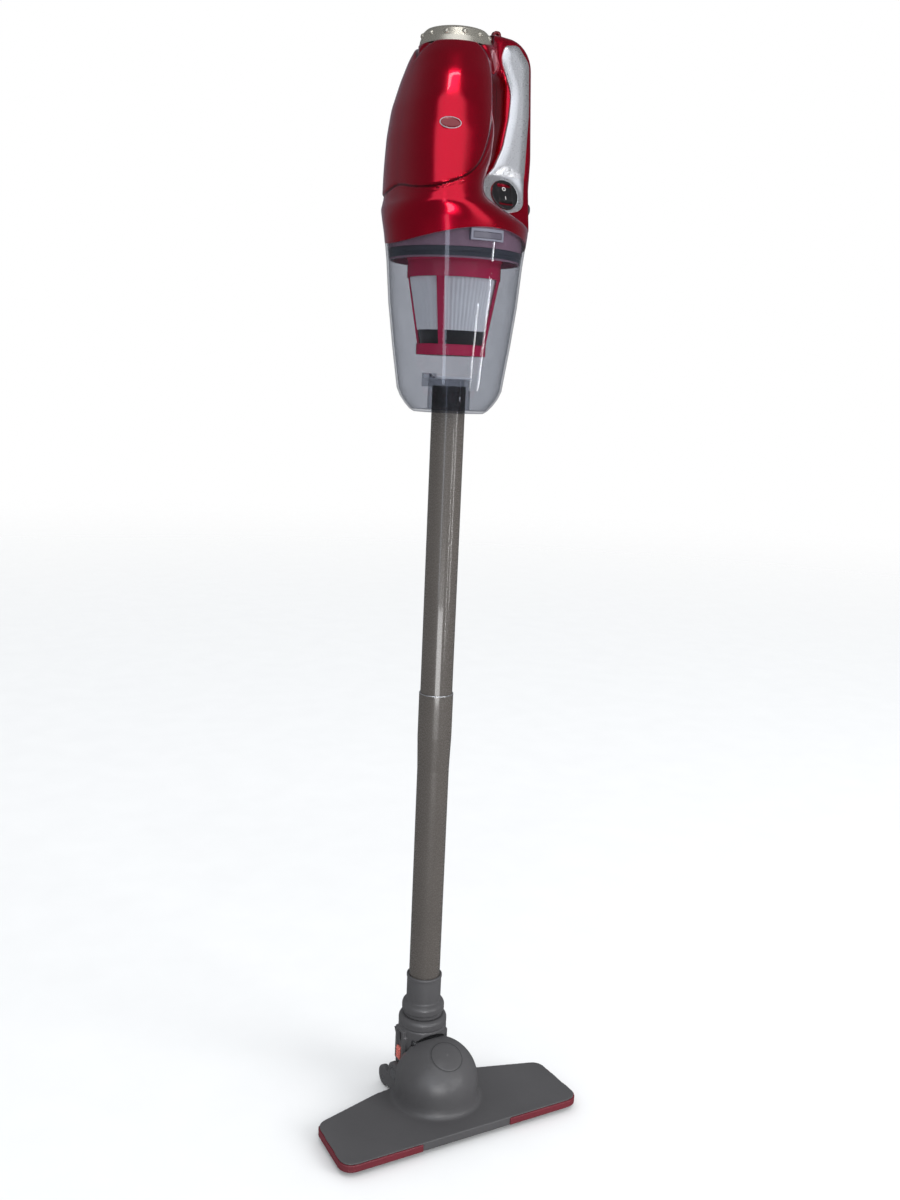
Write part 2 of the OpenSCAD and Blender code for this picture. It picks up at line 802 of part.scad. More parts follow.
// Outline of the silver panel on the handle's side, wide round the switch at its foot
module inlay_outline(d) {
    polygon(rounded(inset([[15, 190], [35, 184], [57, 190], [62, 225], [63.5, 280],
        [61, 324], [48, 338.5], [34, 336], [30, 324], [43, 296], [41.2, 272], [36, 246],
        [27, 227], [14.5, 213]], d), [13, 16, 13, 40, 60, 14, 9, 6, 14, 30, 40, 40, 20, 7], 6));
}

// Inlay panel from y0 to y1, bent onto the foot's flank below the bend
module inlay_shape(y0, y1, d) {
    intersection() {
        side_plate(y0, y1) inlay_outline(d);
        block([-100, -60, bend_z], [100, 0, 400]);
    }
    on_flank() intersection() {
        side_plate(y0, y1) inlay_outline(d);
        block([-100, -60, 100], [100, 0, bend_z + 0.2]);
    }
}

module handle_inlay_front() {
    color("#b9bcc2") on_cup() difference() {
        inlay_shape(inlay_face, inlay_face + inlay_t, 0);
        on_flank() bar_y(-40, 0, switch_r + push, switch_x, switch_z);
    }
}

module handle_inlay_rear() {
    color("#b9bcc2") on_cup() mirror([0, 1, 0]) inlay_shape(inlay_face, inlay_face + inlay_t, 0);
}

// Round bezel with the switch body behind it
module switch_bezel() {
    color("#1d1d1f") on_cup() on_flank() difference() {
        union() {
            bar_y(inlay_face - 1.4, inlay_face + inlay_t, switch_r, switch_x, switch_z);
            block([switch_x - switch_half, inlay_face, switch_z - switch_tall],
                  [switch_x + switch_half, inlay_face + 12.5, switch_z + switch_tall]);
        }
        block([switch_x - 7.2, inlay_face - 3, switch_z - 10.2],
              [switch_x + 7.2, inlay_face + 10.2, switch_z + 10.2]);
    }
}

// Rocker with a flat face, pressed in at its upper end
module switch_rocker() {
    hinge_y = inlay_face + 6.5;
    color("#2b2c2f") on_cup() on_flank() intersection() {
        bar_x(switch_x - 6.9, switch_x + 6.9, 10, hinge_y, switch_z);
        translate([0, hinge_y, switch_z]) rotate([-8, 0, 0])
            block([switch_x - 8, -7.6, -12], [switch_x + 8, 0, 12]);
    }
}

module cord_gland() {
    color("#1b1b1c") on_cup() translate([0, 0, gland_z]) rotate([0, 90, 0]) rotate_extrude()
        polygon(concat([[gland_bore, handle_back - 7.5], [gland_r - 1.6, handle_back - 7.5],
            [gland_r - 1.6, handle_back + 0.2]],
            [for (k = [0:2]) each [[gland_r, handle_back + 0.2 + 2.4 * k],
                [gland_r, handle_back + 1.8 + 2.4 * k], [gland_r - 0.7, handle_back + 2 + 2.4 * k],
                [gland_r - 0.7, handle_back + 2.4 + 2.4 * k]]],
            [[gland_r - 1, gland_tip], [gland_bore, gland_tip]]));
}

// Oval plate on the housing's front, grown by d and sunk by that much more
module badge_plate(d) {
    translate([-41, -56.2, 253]) rotate([90, 0, -16]) rotate([0, 0, 6]) translate([0, 0, -d])
        linear_extrude(1.6 + d) polygon([for (t = [0:15:345]) [(10 + d) * cos(t), (5.2 + d) * sin(t)]]);
}

module badge() {
    color("#7a0f1a") on_cup() badge_plate(0);
}

module hang_tab() {
    color("#6d1420") on_cup() difference() {
        side_plate(-2.5, 2.5) polygon(rounded([[29, handle_top + 0.05], [39.5, handle_top + 0.05],
            [37.5, 352], [31, 352]], [0.5, 0.5, 2.8, 2.8]));
        bar_y(-4, 4, 2, 34.2, 347.8);
    }
}

// ---- Exhaust ----

module exhaust_cap() {
    color("#c4bdae") on_cup() translate([cap_x, 0, 0]) {
        rotate_extrude() polygon([
            [cap_r - 2.4, cap_low], [cap_r, cap_low], [cap_r - 1, cap_low + 5],
            [cap_r - 3.6, cap_top - 2], [cap_r - 5.6, cap_top], [19, cap_top], [18, cap_top - 1.5],
            [18, cap_top - 6], [20.5, cap_top - 6], [20.5, cap_top - 2.6],
            [cap_r - 6.6, cap_top - 2.6], [cap_r - 3.6, cap_low + 5]]);
        for (k = [0:11]) rotate([0, 0, 30 * k + 15]) translate([cap_r - 3.2, 0, cap_top - 5.5])
            sphere(r = 2.7, $fn = 24);
    }
}

module exhaust_grille() {
    color("#2a2a2c") on_cup() translate([cap_x, 0, pod_top - shell_wall]) difference() {
        cylinder(h = shell_wall, r = outlet_r);
        for (k = [-4:4]) {
            half = sqrt(pow(outlet_r - 4, 2) - pow(5 * k, 2));
            block([-half, 5 * k - 1.3, -1], [half, 5 * k + 1.3, 5]);
        }
    }
}

module exhaust_foam() {
    color("#3d3d40") on_cup() translate([cap_x - 5, 0, pod_top - shell_wall - 12])
        cylinder(h = 11, r = 22);
}

// ---- Cup latch ----

module latch_frame() {
    color("#8d94a3") on_cup() difference() {
        intersection() {
            block([latch_x - latch_w / 2, -80, latch_z - latch_h / 2],
                  [latch_x + latch_w / 2, 0, latch_z + latch_h / 2]);
            tube(140, 180, 67.3, deck_r + 0.2);
        }
        block([latch_x - latch_w / 2 + 2.2, -80, latch_z - latch_h / 2 + 2],
              [latch_x + latch_w / 2 - 2.2, 0, latch_z + latch_h / 2 - 3]);
    }
}

module latch_button() {
    color("#2e323b") on_cup() intersection() {
        block([latch_x - latch_w / 2 + 2.5, -80, latch_z - latch_h / 2 + 2.3],
              [latch_x + latch_w / 2 - 2.5, 0, latch_z + latch_h / 2 - 3.3]);
        tube(140, 180, 67.1, 61.5);
    }
}

// ---- Motor and fan ----

module on_motor() {
    on_cup() translate([motor_x, 0, 0]) children();
}

module fan_cover() {
    color("#b4b6b8") on_motor() rotate_extrude() polygon([
        [14, fan_low - 1.6], [15, fan_low - 1.6], [15, fan_low], [impeller_r + 4, fan_low],
        [impeller_r + 4, fan_high - 4], [impeller_r + 3, fan_high - 4],
        [impeller_r + 3, fan_low + 1], [14, fan_low + 1]]);
}

module impeller() {
    color("#c8cacc") on_motor() difference() {
        union() {
            translate([0, 0, fan_low + 13]) cylinder(h = 1.2, r = impeller_r);
            translate([0, 0, fan_low + 4]) cylinder(h = 14, r = 7);
            for (k = [0:blade_count - 1]) rotate([0, 0, 360 * k / blade_count])
                translate([6, 3, fan_low + 4]) rotate([0, 0, -8])
                    cube([impeller_r - 9, 1.2, 9.5]);
        }
        translate([0, 0, fan_low]) cylinder(h = 30, r = shaft_r);
    }
}

module motor_can() {
    color("#8f9194") on_motor() difference() {
        union() {
            tube(can_low, can_high, motor_r, motor_r - 1.2);
            tube(can_low, can_low + 1.6, motor_r - 1, shaft_r + 1);
            tube(can_low + 1, can_low + 7, 9.5, 8);
            tube(can_high - 1.6, can_high, motor_r - 1, shaft_r + 1);
            tube(can_high - 7, can_high - 1, 9.5, 8);
        }
        for (k = [0:5]) rotate([0, 0, 60 * k + 30])
            block([13, -3, can_high - 5], [20, 3, can_high + 5]);
        for (k = [0:5]) rotate([0, 0, 60 * k + 30]) block([13, -3, can_low - 5], [20, 3, can_low + 5]);
        for (s = [0, 180]) rotate([0, 0, s + 90])
            block([14, -3, can_high - 17], [40, 3, can_high - 10]);
    }
}

module motor_bearings() {
    color("#d5d7d9") on_motor() {
        tube(can_low + 1.7, can_low + 6.7, 8, shaft_r + 0.02);
        tube(can_high - 6.7, can_high - 1.7, 8, shaft_r + 0.02);
    }
}

module stator_core() {
    color("#77706a") on_motor() difference() {
        translate([0, 0, can_low + 9]) cylinder(h = 24, r = motor_r - 1.3);
        translate([0, 0, can_low + 8]) cylinder(h = 26, r = 15.6);
        both_sides() block([16, -5, can_low + 8], [22, 5, can_low + 34]);
    }
}

module rotor_core() {
    color("#8a5a32") on_motor() difference() {
        translate([0, 0, can_low + 9]) cylinder(h = 24, r = 15);
        translate([0, 0, can_low + 8]) cylinder(h = 26, r = shaft_r);
        for (k = [0:11]) rotate([0, 0, 30 * k]) block([12, -1, can_low + 8], [16, 1, can_low + 34]);
    }
}

module commutator() {
    color("#b87333") on_motor() tube(can_high - 18, can_high - 9, 9, shaft_r);
}

module motor_shaft() {
    color("#d8dadc") on_motor() translate([0, 0, fan_low + 4])
        cylinder(h = can_high - fan_low, r = shaft_r);
}

module carbon_brushes() {
    color("#3b3b3b") on_motor() for (s = [0, 180]) rotate([0, 0, s + 90])
        block([9.3, -2.9, can_high - 16.9], [motor_r + 2, 2.9, can_high - 10.1]);
}

module motor_mount_lower() {
    color("#262626") on_motor() difference() {
        union() {
            tube(fan_high - 3.9, can_low + 4, impeller_r - 0.5, motor_r + run);
            tube(fan_high - 3.9, fan_high - 1, impeller_r + 3, motor_r + run);
        }
        tube(fan_high - 4, can_low - 0.1, impeller_r - 6, motor_r - 1);
        for (k = [0:5]) rotate([0, 0, 60 * k]) translate([motor_r + 4.5, 0, can_low - 5])
            cylinder(h = 12, r = 2.5);
    }
}

module motor_mount_upper() {
    color("#262626") on_motor() difference() {
        tube(can_high - 6, can_high + 2.5, motor_r + 3, motor_r - 4);
        tube(can_high - 7, can_high, motor_r + run, motor_r - 5);
    }
}

// Quarter bend of a lead in the XZ plane, centred on [x, z] and starting at angle a
module lead_bend(x, z, r, a) {
    translate([x, 0, z]) rotate([90, 0, 0]) rotate([0, 0, a])
        rotate_extrude(angle = 90) translate([r, 0]) circle(lead_r);
}

// Lead from the cord's gland over the lower mount and up beside the motor can
module wiring() {
    step = 3.5;
    tip = 1.8;
    rise = 2 * step;
    sweep = 6;
    up_x = 7.5;
    run_z = gland_z + rise;
    far_x = 46;
    color("#2f4f8f") on_cup() {
        bar_x(far_x, far_x + 12, lead_r, 0, gland_z);
        lead_bend(far_x, gland_z + step, step, 180);
        lead_bend(far_x - rise, gland_z + step, step, 0);
        bar_x(up_x + sweep, far_x - rise, lead_r, 0, run_z);
        lead_bend(up_x + sweep, run_z + sweep, sweep, 180);
        translate([up_x, 0, run_z + sweep]) cylinder(h = can_high - 12 - run_z - sweep, r = lead_r);
        lead_bend(up_x - tip, can_high - 12, tip, 0);
    }
}

head_shell();
sole_plate();
bumper_left();
bumper_right();
brush_front();
brush_rear();
sole_screws();
wheel_axles();
wheel_left();
wheel_right();
pivot_pins();
drum_seal();
neck_yoke();
neck_drum();
swivel_clip();
suction_slider();
swivel_collar();
wand_lower();
wand_upper();
dust_cup();
flap_pin();
inlet_flap();
base_ring();
cup_seal();
filter_frame();
filter_cloth();
filter_core();
filter_seal();
housing_front();
housing_rear();
housing_screws();
handle_inlay_front();
handle_inlay_rear();
switch_bezel();
switch_rocker();
cord_gland();
exhaust_cap();
exhaust_grille();
exhaust_foam();
hang_tab();
badge();
latch_frame();
latch_button();
fan_cover();
impeller();
motor_can();
motor_bearings();
stator_core();
rotor_core();
commutator();
motor_shaft();
carbon_brushes();
motor_mount_lower();
motor_mount_upper();
wiring();
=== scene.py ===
# Upright vacuum cleaner: surfaces, materials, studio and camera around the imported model.
import json
import math

import bmesh
import bpy
import numpy as np
from mathutils import Matrix, Vector

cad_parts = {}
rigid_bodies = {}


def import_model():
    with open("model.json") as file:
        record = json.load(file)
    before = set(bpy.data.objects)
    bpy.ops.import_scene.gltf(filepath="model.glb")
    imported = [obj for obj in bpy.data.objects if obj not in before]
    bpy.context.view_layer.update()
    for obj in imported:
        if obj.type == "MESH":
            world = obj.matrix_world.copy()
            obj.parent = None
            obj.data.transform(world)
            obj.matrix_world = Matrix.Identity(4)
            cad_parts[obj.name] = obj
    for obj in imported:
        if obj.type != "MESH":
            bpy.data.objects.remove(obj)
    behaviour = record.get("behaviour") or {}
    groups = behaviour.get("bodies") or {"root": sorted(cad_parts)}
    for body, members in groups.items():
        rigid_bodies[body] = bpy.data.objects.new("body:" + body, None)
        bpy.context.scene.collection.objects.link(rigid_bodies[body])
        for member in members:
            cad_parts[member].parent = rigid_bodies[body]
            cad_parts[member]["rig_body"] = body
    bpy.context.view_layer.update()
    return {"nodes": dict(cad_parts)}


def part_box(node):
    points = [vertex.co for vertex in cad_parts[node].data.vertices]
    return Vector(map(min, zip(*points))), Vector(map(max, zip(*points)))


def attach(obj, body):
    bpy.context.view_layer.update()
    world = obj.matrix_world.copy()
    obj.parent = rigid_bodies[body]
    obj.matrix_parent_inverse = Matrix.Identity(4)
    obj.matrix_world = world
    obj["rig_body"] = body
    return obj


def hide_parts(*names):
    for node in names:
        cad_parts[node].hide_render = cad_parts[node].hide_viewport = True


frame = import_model()
nodes = frame["nodes"]
MM = 0.001

# Landmarks read from the frame
axis_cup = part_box("dust_cup")[0].z
cap_low, cap_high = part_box("exhaust_cap")
cap_centre = (cap_low + cap_high) / 2
ring_low, ring_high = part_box("base_ring")
joint_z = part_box("wand_lower")[1].z


# ---- Camera, stage and light ----

CAMERA_AT = Vector((-0.571, -1.033, 0.756))
HEADING = Vector((0.491, 0.871, 0)).normalized()
PITCH = math.radians(10.48)
ROLL = math.radians(2.508)
LENS = 36
SENSOR = 36
# The floor is solid out to FLOOR_SOLID metres and has faded out at FLOOR_GONE
FLOOR_RADIUS = 12
FLOOR_SOLID = 1.2
FLOOR_GONE = 6
# What each kind of ray sees of the studio; 1 shows as plain white
SKY_LIGHT = 0.97
ROOM_LIGHT = 0.12
WALL_LIGHT = 1.1
WALL_ANGLE = 4


def make_camera():
    forward = HEADING * math.cos(PITCH) - Vector((0, 0, math.sin(PITCH)))
    side = Vector((HEADING.y, -HEADING.x, 0))
    up = side.cross(forward)
    right = side * math.cos(ROLL) + up * math.sin(ROLL)
    top = up * math.cos(ROLL) - side * math.sin(ROLL)
    data = bpy.data.cameras.new("camera")
    data.sensor_width = SENSOR
    data.lens = LENS
    data.clip_start = 0.01
    camera = bpy.data.objects.new("camera", data)
    bpy.context.scene.collection.objects.link(camera)
    turn = Matrix((right, top, -forward)).transposed().to_4x4()
    camera.matrix_world = Matrix.Translation(CAMERA_AT) @ turn
    bpy.context.scene.camera = camera


def from_camera(angle, distance, height):
    """A point round the object: angle is to the camera's right, 0 being the camera's own side."""
    a = math.radians(angle)
    side = Vector((HEADING.y, -HEADING.x, 0))
    return (-HEADING * math.cos(a) + side * math.sin(a)) * distance + Vector((0, 0, height))


def area_light(name, angle, distance, low, high, width, radiance, tint=(1, 1, 1), in_gloss=True,
               in_diffuse=True):
    """Upright soft box facing the object, from height low to high. radiance 1 shows as plain white."""
    data = bpy.data.lights.new(name, "AREA")
    data.shape = "RECTANGLE"
    data.size = width
    data.size_y = high - low
    data.color = tint
    data.energy = radiance * math.pi * width * (high - low)
    light = bpy.data.objects.new(name, data)
    bpy.context.scene.collection.objects.link(light)
    light.location = from_camera(angle, distance, (low + high) / 2)
    facing = Vector((-light.location.x, -light.location.y, 0))
    light.rotation_euler = facing.to_track_quat("-Z", "Y").to_euler()
    light.visible_glossy = in_gloss
    light.visible_diffuse = in_diffuse


def make_floor():
    """Wide pale floor that fades into the white studio, and that the glossy parts don't mirror."""
    bm = bmesh.new()
    bmesh.ops.create_circle(bm, cap_ends=True, segments=64, radius=FLOOR_RADIUS)
    mesh = bpy.data.meshes.new("studio_floor")
    bm.to_mesh(mesh)
    bm.free()
    floor = bpy.data.objects.new("studio_floor", mesh)
    bpy.context.scene.collection.objects.link(floor)
    paper = plain("floor_paper", (0.90, 0.90, 0.90), 0.9, tone=0.01, grain=20)
    tree = paper.node_tree
    place = tree.nodes.new("ShaderNodeTexCoord")
    away = tree.nodes.new("ShaderNodeVectorMath")
    away.operation = "LENGTH"
    tree.links.new(place.outputs["Object"], away.inputs[0])
    fade = mapped(tree, away.outputs["Value"], FLOOR_SOLID, FLOOR_GONE, 1, 0, smooth=True)
    bsdf = tree.nodes["Principled BSDF"]
    tree.links.new(fade, bsdf.inputs["Alpha"])
    bsdf.inputs["Specular IOR Level"].default_value = 0
    mesh.materials.append(paper)
    floor.visible_glossy = False


def make_world():
    """White behind the object and white light all round; gloss mirrors a dim room with one lit wall."""
    world = bpy.data.worlds.new("studio")
    bpy.context.scene.world = world
    world.use_nodes = True
    tree = world.node_tree
    tree.nodes.clear()

    def background(strength, color=(1, 1, 1)):
        node = tree.nodes.new("ShaderNodeBackground")
        feed(tree, node.inputs["Color"], color)
        feed(tree, node.inputs["Strength"], strength)
        return node.outputs[0]

    def choose(test, first, second):
        node = tree.nodes.new("ShaderNodeMixShader")
        tree.links.new(test, node.inputs[0])
        tree.links.new(first, node.inputs[1])
        tree.links.new(second, node.inputs[2])
        return node.outputs[0]

    place = tree.nodes.new("ShaderNodeTexCoord")
    toward = tree.nodes.new("ShaderNodeVectorMath")
    toward.operation = "DOT_PRODUCT"
    toward.inputs[1].default_value = from_camera(WALL_ANGLE, 1, 0)
    tree.links.new(place.outputs["Generated"], toward.inputs[0])
    split = tree.nodes.new("ShaderNodeSeparateXYZ")
    tree.links.new(place.outputs["Generated"], split.inputs[0])
    above = mapped(tree, split.outputs["Z"], -0.08, 0.12, smooth=True)
    wall = mapped(tree, toward.outputs["Value"], 0.50, 0.66, 0, WALL_LIGHT, smooth=True)
    lit = maths(tree, "MULTIPLY_ADD", wall, above, ROOM_LIGHT)
    path = tree.nodes.new("ShaderNodeLightPath")
    seen = maths(tree, "MAXIMUM", path.outputs["Is Camera Ray"], path.outputs["Is Transmission Ray"])
    daylight = background(SKY_LIGHT, (0.96, 0.98, 1))
    room = background(lit, (0.92, 0.95, 1))
    unseen = choose(path.outputs["Is Glossy Ray"], daylight, room)
    out = tree.nodes.new("ShaderNodeOutputWorld")
    tree.links.new(choose(seen, unseen, background(1.0)), out.inputs[0])


def make_lights():
    """Big soft key, two thin tubes and a window that the cup mirrors, and boxes for the gloss."""
    area_light("key", 62, 3.4, 0.6, 2.6, 2.0, 4.6, in_gloss=False)
    area_light("tube_right", 66, 2.0, 0.15, 0.75, 0.05, 26)
    area_light("tube_near", 46, 2.0, 0.0, 0.62, 0.04, 26)
    area_light("window", -12, 1.9, 0.2, 1.1, 0.22, 2.6, (0.8, 0.88, 1))
    area_light("ceiling", 10, 1.3, 2.6, 2.75, 1.2, 16)
    area_light("low_front", 8, 1.5, 0.02, 0.24, 0.9, 9, in_diffuse=False)


# ---- Materials ----

# A wave texture of scale 1 repeats after this many metres
WAVE_TURN = 0.314


def shader_tree(name):
    mat = bpy.data.materials.new(name)
    mat.use_nodes = True
    tree = mat.node_tree
    return mat, tree, tree.nodes["Principled BSDF"]


def feed(tree, socket, value):
    """Sets a socket to a number or a colour, or links another socket into it."""
    if isinstance(value, bpy.types.NodeSocket):
        tree.links.new(value, socket)
    elif isinstance(value, tuple):
        socket.default_value = (*value, 1)
    else:
        socket.default_value = value


def maths(tree, operation, *values):
    node = tree.nodes.new("ShaderNodeMath")
    node.operation = operation
    for socket, value in zip(node.inputs, values):
        feed(tree, socket, value)
    return node.outputs[0]


def mapped(tree, value, low, high, first=0, last=1, smooth=False):
    """value carried from the range low..high to first..last."""
    node = tree.nodes.new("ShaderNodeMapRange")
    if smooth:
        node.interpolation_type = "SMOOTHSTEP"
    for name, number in (("From Min", low), ("From Max", high), ("To Min", first), ("To Max", last)):
        node.inputs[name].default_value = number
    tree.links.new(value, node.inputs["Value"])
    return node.outputs["Result"]


def noise(tree, scale, detail, stretch=(1, 1, 1)):
    """Noise in the object's own metres; scale is in features per metre."""
    place = tree.nodes.new("ShaderNodeTexCoord")
    sized = tree.nodes.new("ShaderNodeMapping")
    sized.inputs["Scale"].default_value = stretch
    tex = tree.nodes.new("ShaderNodeTexNoise")
    tex.inputs["Scale"].default_value = scale
    tex.inputs["Detail"].default_value = detail
    tree.links.new(place.outputs["Object"], sized.inputs["Vector"])
    tree.links.new(sized.outputs["Vector"], tex.inputs["Vector"])
    return tex.outputs["Fac"]


def between(tree, fac, low, high):
    """A value that runs from low to high over the middle of a noise's range."""
    return mapped(tree, fac, 0.3, 0.7, low, high)


def blend(tree, fac, a, b):
    """Colour that goes from a to b with fac; a and b are colours or sockets."""
    node = tree.nodes.new("ShaderNodeMix")
    node.data_type = "RGBA"
    feed(tree, node.inputs["A"], a)
    feed(tree, node.inputs["B"], b)
    tree.links.new(fac, node.inputs["Factor"])
    return node.outputs["Result"]


def bump(tree, bsdf, height, strength, distance):
    node = tree.nodes.new("ShaderNodeBump")
    node.inputs["Strength"].default_value = strength
    node.inputs["Distance"].default_value = distance
    tree.links.new(height, node.inputs["Height"])
    tree.links.new(node.outputs["Normal"], bsdf.inputs["Normal"])


def plain(name, color, rough, metal=0.0, coat=0.0, tone=0.12, grain=900, relief=0.05, edge_highlight=0.0,
          stretch=(1, 1, 1)):
    """Moulded plastic, rubber or paint: slow tone changes, uneven gloss, fine grain and pale edges that are
    a painted highlight.
    """
    mat, tree, bsdf = shader_tree(name)
    slow = between(tree, noise(tree, 14, 4), 0, 1)
    dark = tuple(c * (1 - tone) for c in color)
    pale = tuple(min(1, c * (1 + tone)) for c in color)
    shade = blend(tree, slow, dark, pale)
    # Pale sharp edges, found from the mesh's pointiness: a painted highlight.
    if edge_highlight:
        edge = tree.nodes.new("ShaderNodeNewGeometry")
        rim = mapped(tree, edge.outputs["Pointiness"], 0.52, 0.62)
        shade = blend(tree, rim, shade, tuple(min(1, c * (1 + edge_highlight) + 0.02) for c in color))
    tree.links.new(shade, bsdf.inputs["Base Color"])
    fine = noise(tree, grain, 4, stretch)
    tree.links.new(between(tree, fine, rough * 0.85, min(1, rough * 1.2)), bsdf.inputs["Roughness"])
    bump(tree, bsdf, fine, relief, 0.4 * MM)
    bsdf.inputs["Metallic"].default_value = metal
    bsdf.inputs["Coat Weight"].default_value = coat
    bsdf.inputs["Coat Roughness"].default_value = 0.05
    return mat


def candy_red(name):
    """Clear-coated metallic red: flakes under a gloss, the shells' seam and painted shade in the panel's
    groove.
    """
    mat, tree, bsdf = shader_tree(name)
    place = tree.nodes.new("ShaderNodeTexCoord")
    flake = tree.nodes.new("ShaderNodeTexVoronoi")
    flake.inputs["Scale"].default_value = 2600
    tree.links.new(place.outputs["Object"], flake.inputs["Vector"])
    slow = between(tree, noise(tree, 9, 3), 0, 1)
    depth = blend(tree, slow, (0.54, 0.001, 0.020), (0.62, 0.001, 0.030))
    glint = mapped(tree, flake.outputs["Color"], 0.7, 1.0)
    paint = blend(tree, glint, depth, (0.62, 0.004, 0.020))
    across = tree.nodes.new("ShaderNodeSeparateXYZ")
    tree.links.new(place.outputs["Object"], across.inputs["Vector"])
    off_seam = mapped(tree, maths(tree, "ABSOLUTE", across.outputs["Y"]), 0.15 * MM, 0.35 * MM)
    lined = blend(tree, off_seam, (0.02, 0.0, 0.001), paint)
    # The panel's groove is darkened by the "groove" attribute: painted shade.
    groove = tree.nodes.new("ShaderNodeAttribute")
    groove.attribute_name = "groove"
    shaded = blend(tree, groove.outputs["Fac"], lined, (0.03, 0.0, 0.002))
    tree.links.new(shaded, bsdf.inputs["Base Color"])
    tree.links.new(between(tree, noise(tree, 60, 3), 0.20, 0.25), bsdf.inputs["Roughness"])
    bump(tree, bsdf, off_seam, 0.4, 0.4 * MM)
    bsdf.inputs["Metallic"].default_value = 0.92
    bsdf.inputs["Coat Weight"].default_value = 1.0
    bsdf.inputs["Coat IOR"].default_value = 1.26
    bsdf.inputs["Coat Roughness"].default_value = 0.03
    bsdf.inputs["Sheen Weight"].default_value = 0.13
    bsdf.inputs["Sheen Roughness"].default_value = 0.35
    feed(tree, bsdf.inputs["Sheen Tint"], (0.72, 0.70, 1.0))
    return mat


def clear_plastic(name, color, rough=0.03):
    """Thin clear moulding: tinted light goes straight through, under a gloss and a faint haze."""
    mat, tree, bsdf = shader_tree(name)
    haze = between(tree, noise(tree, 35, 4), 0, 1)
    dark = tuple(c * 0.97 for c in color)
    through = tree.nodes.new("ShaderNodeBsdfTransparent")
    tree.links.new(blend(tree, haze, dark, color), through.inputs["Color"])
    scratches = noise(tree, 300, 5, (1, 1, 0.08))
    tree.links.new(between(tree, scratches, rough * 0.6, rough * 1.8), bsdf.inputs["Roughness"])
    bump(tree, bsdf, scratches, 0.02, 0.2 * MM)
    feed(tree, bsdf.inputs["Base Color"], color)
    bsdf.inputs["Metallic"].default_value = 1.0
    edge = tree.nodes.new("ShaderNodeLayerWeight")
    edge.inputs["Blend"].default_value = 0.5
    share = maths(tree, "MULTIPLY_ADD", maths(tree, "POWER", edge.outputs["Facing"], 4), 0.5, 0.045)
    mix = tree.nodes.new("ShaderNodeMixShader")
    tree.links.new(share, mix.inputs[0])
    tree.links.new(through.outputs[0], mix.inputs[1])
    tree.links.new(bsdf.outputs[0], mix.inputs[2])
    out = next(n for n in tree.nodes if n.type == "OUTPUT_MATERIAL")
    tree.links.new(mix.outputs[0], out.inputs["Surface"])
    return mat


def brushed(name, color, rough):
    """Metal with fine upright brush marks."""
    return plain(name, color, rough, metal=1.0, tone=0.06, grain=1400, relief=0.08, stretch=(1, 1, 0.04))


def cloth(name, color, pitch):
    """Woven cloth: two crossed waves of threads, pitch metres apart, with soft tone changes and painted
    shade where the threads lie low.
    """
    mat, tree, bsdf = shader_tree(name)
    place = tree.nodes.new("ShaderNodeTexCoord")
    weave = []
    for direction in ("X", "Z"):
        wave = tree.nodes.new("ShaderNodeTexWave")
        wave.bands_direction = direction
        wave.inputs["Scale"].default_value = WAVE_TURN / pitch
        wave.inputs["Distortion"].default_value = 0.6
        tree.links.new(place.outputs["Object"], wave.inputs["Vector"])
        weave.append(wave.outputs["Fac"])
    crossing = maths(tree, "MULTIPLY", *weave)
    # The weave's low points are darker: painted shade between the threads.
    low, thread = (tuple(c * share for c in color) for share in (0.85, 0.9))
    raised = blend(tree, noise(tree, 30, 4), color, thread)
    tree.links.new(blend(tree, crossing, low, raised), bsdf.inputs["Base Color"])
    bump(tree, bsdf, crossing, 0.5, 0.3 * MM)
    bsdf.inputs["Roughness"].default_value = 0.9
    bsdf.inputs["Sheen Weight"].default_value = 0.3
    return mat


# ---- Mesh building ----

def piece(name, mesh, mat, body, replaced=(), angle=35):
    """A finished piece of the object: shown smooth, with its material and body."""
    obj = bpy.data.objects.new(name, mesh)
    bpy.context.scene.collection.objects.link(obj)
    dress(obj, mat, angle)
    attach(obj, body)
    if replaced:
        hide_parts(*replaced)


def dress(obj, mat, angle=35):
    obj.data.shade_smooth()
    obj.data.set_sharp_from_angle(angle=math.radians(angle))
    obj.data.materials.clear()
    obj.data.materials.append(mat)


def mesh_of(bm, name):
    bmesh.ops.recalc_face_normals(bm, faces=bm.faces)
    mesh = bpy.data.meshes.new(name)
    bm.to_mesh(mesh)
    bm.free()
    return mesh


def add_skin(bm, rings, closed=False):
    """Quads through rings of as many points each; closed joins the last ring to the first."""
    layers = [[bm.verts.new(p) for p in ring] for ring in rings]
    count = len(layers[0])
    for low, high in zip(layers, layers[1:] + layers[:1] if closed else layers[1:]):
        for i in range(count):
            j = (i + 1) % count
            bm.faces.new((low[i], low[j], high[j], high[i]))
    return layers


def add_loft(bm, rings):
    """Closed body through the rings, with flat ends."""
    layers = add_skin(bm, rings)
    bm.faces.new(list(reversed(layers[0])))
    bm.faces.new(layers[-1])


def around(radius, steps):
    """Points of a circle, as (x, y)."""
    turns = [2 * math.pi * i / steps for i in range(steps)]
    return [(radius * math.cos(a), radius * math.sin(a)) for a in turns]


def lathe(name, profile, steps=96):
    """Body of revolution about +Z, from a closed outline of (radius, height) in mm."""
    bm = bmesh.new()
    rings = [[(r * MM * c, r * MM * s, z * MM) for r, z in profile] for c, s in around(1, steps)]
    add_skin(bm, rings, closed=True)
    return mesh_of(bm, name)


def applied(obj):
    """The object's mesh with its modifiers applied; the object itself is removed."""
    graph = bpy.context.evaluated_depsgraph_get()
    mesh = bpy.data.meshes.new_from_object(obj.evaluated_get(graph))
    bpy.data.objects.remove(obj)
    return mesh


def scratch(mesh):
    obj = bpy.data.objects.new("scratch", mesh)
    bpy.context.scene.collection.objects.link(obj)
    return obj


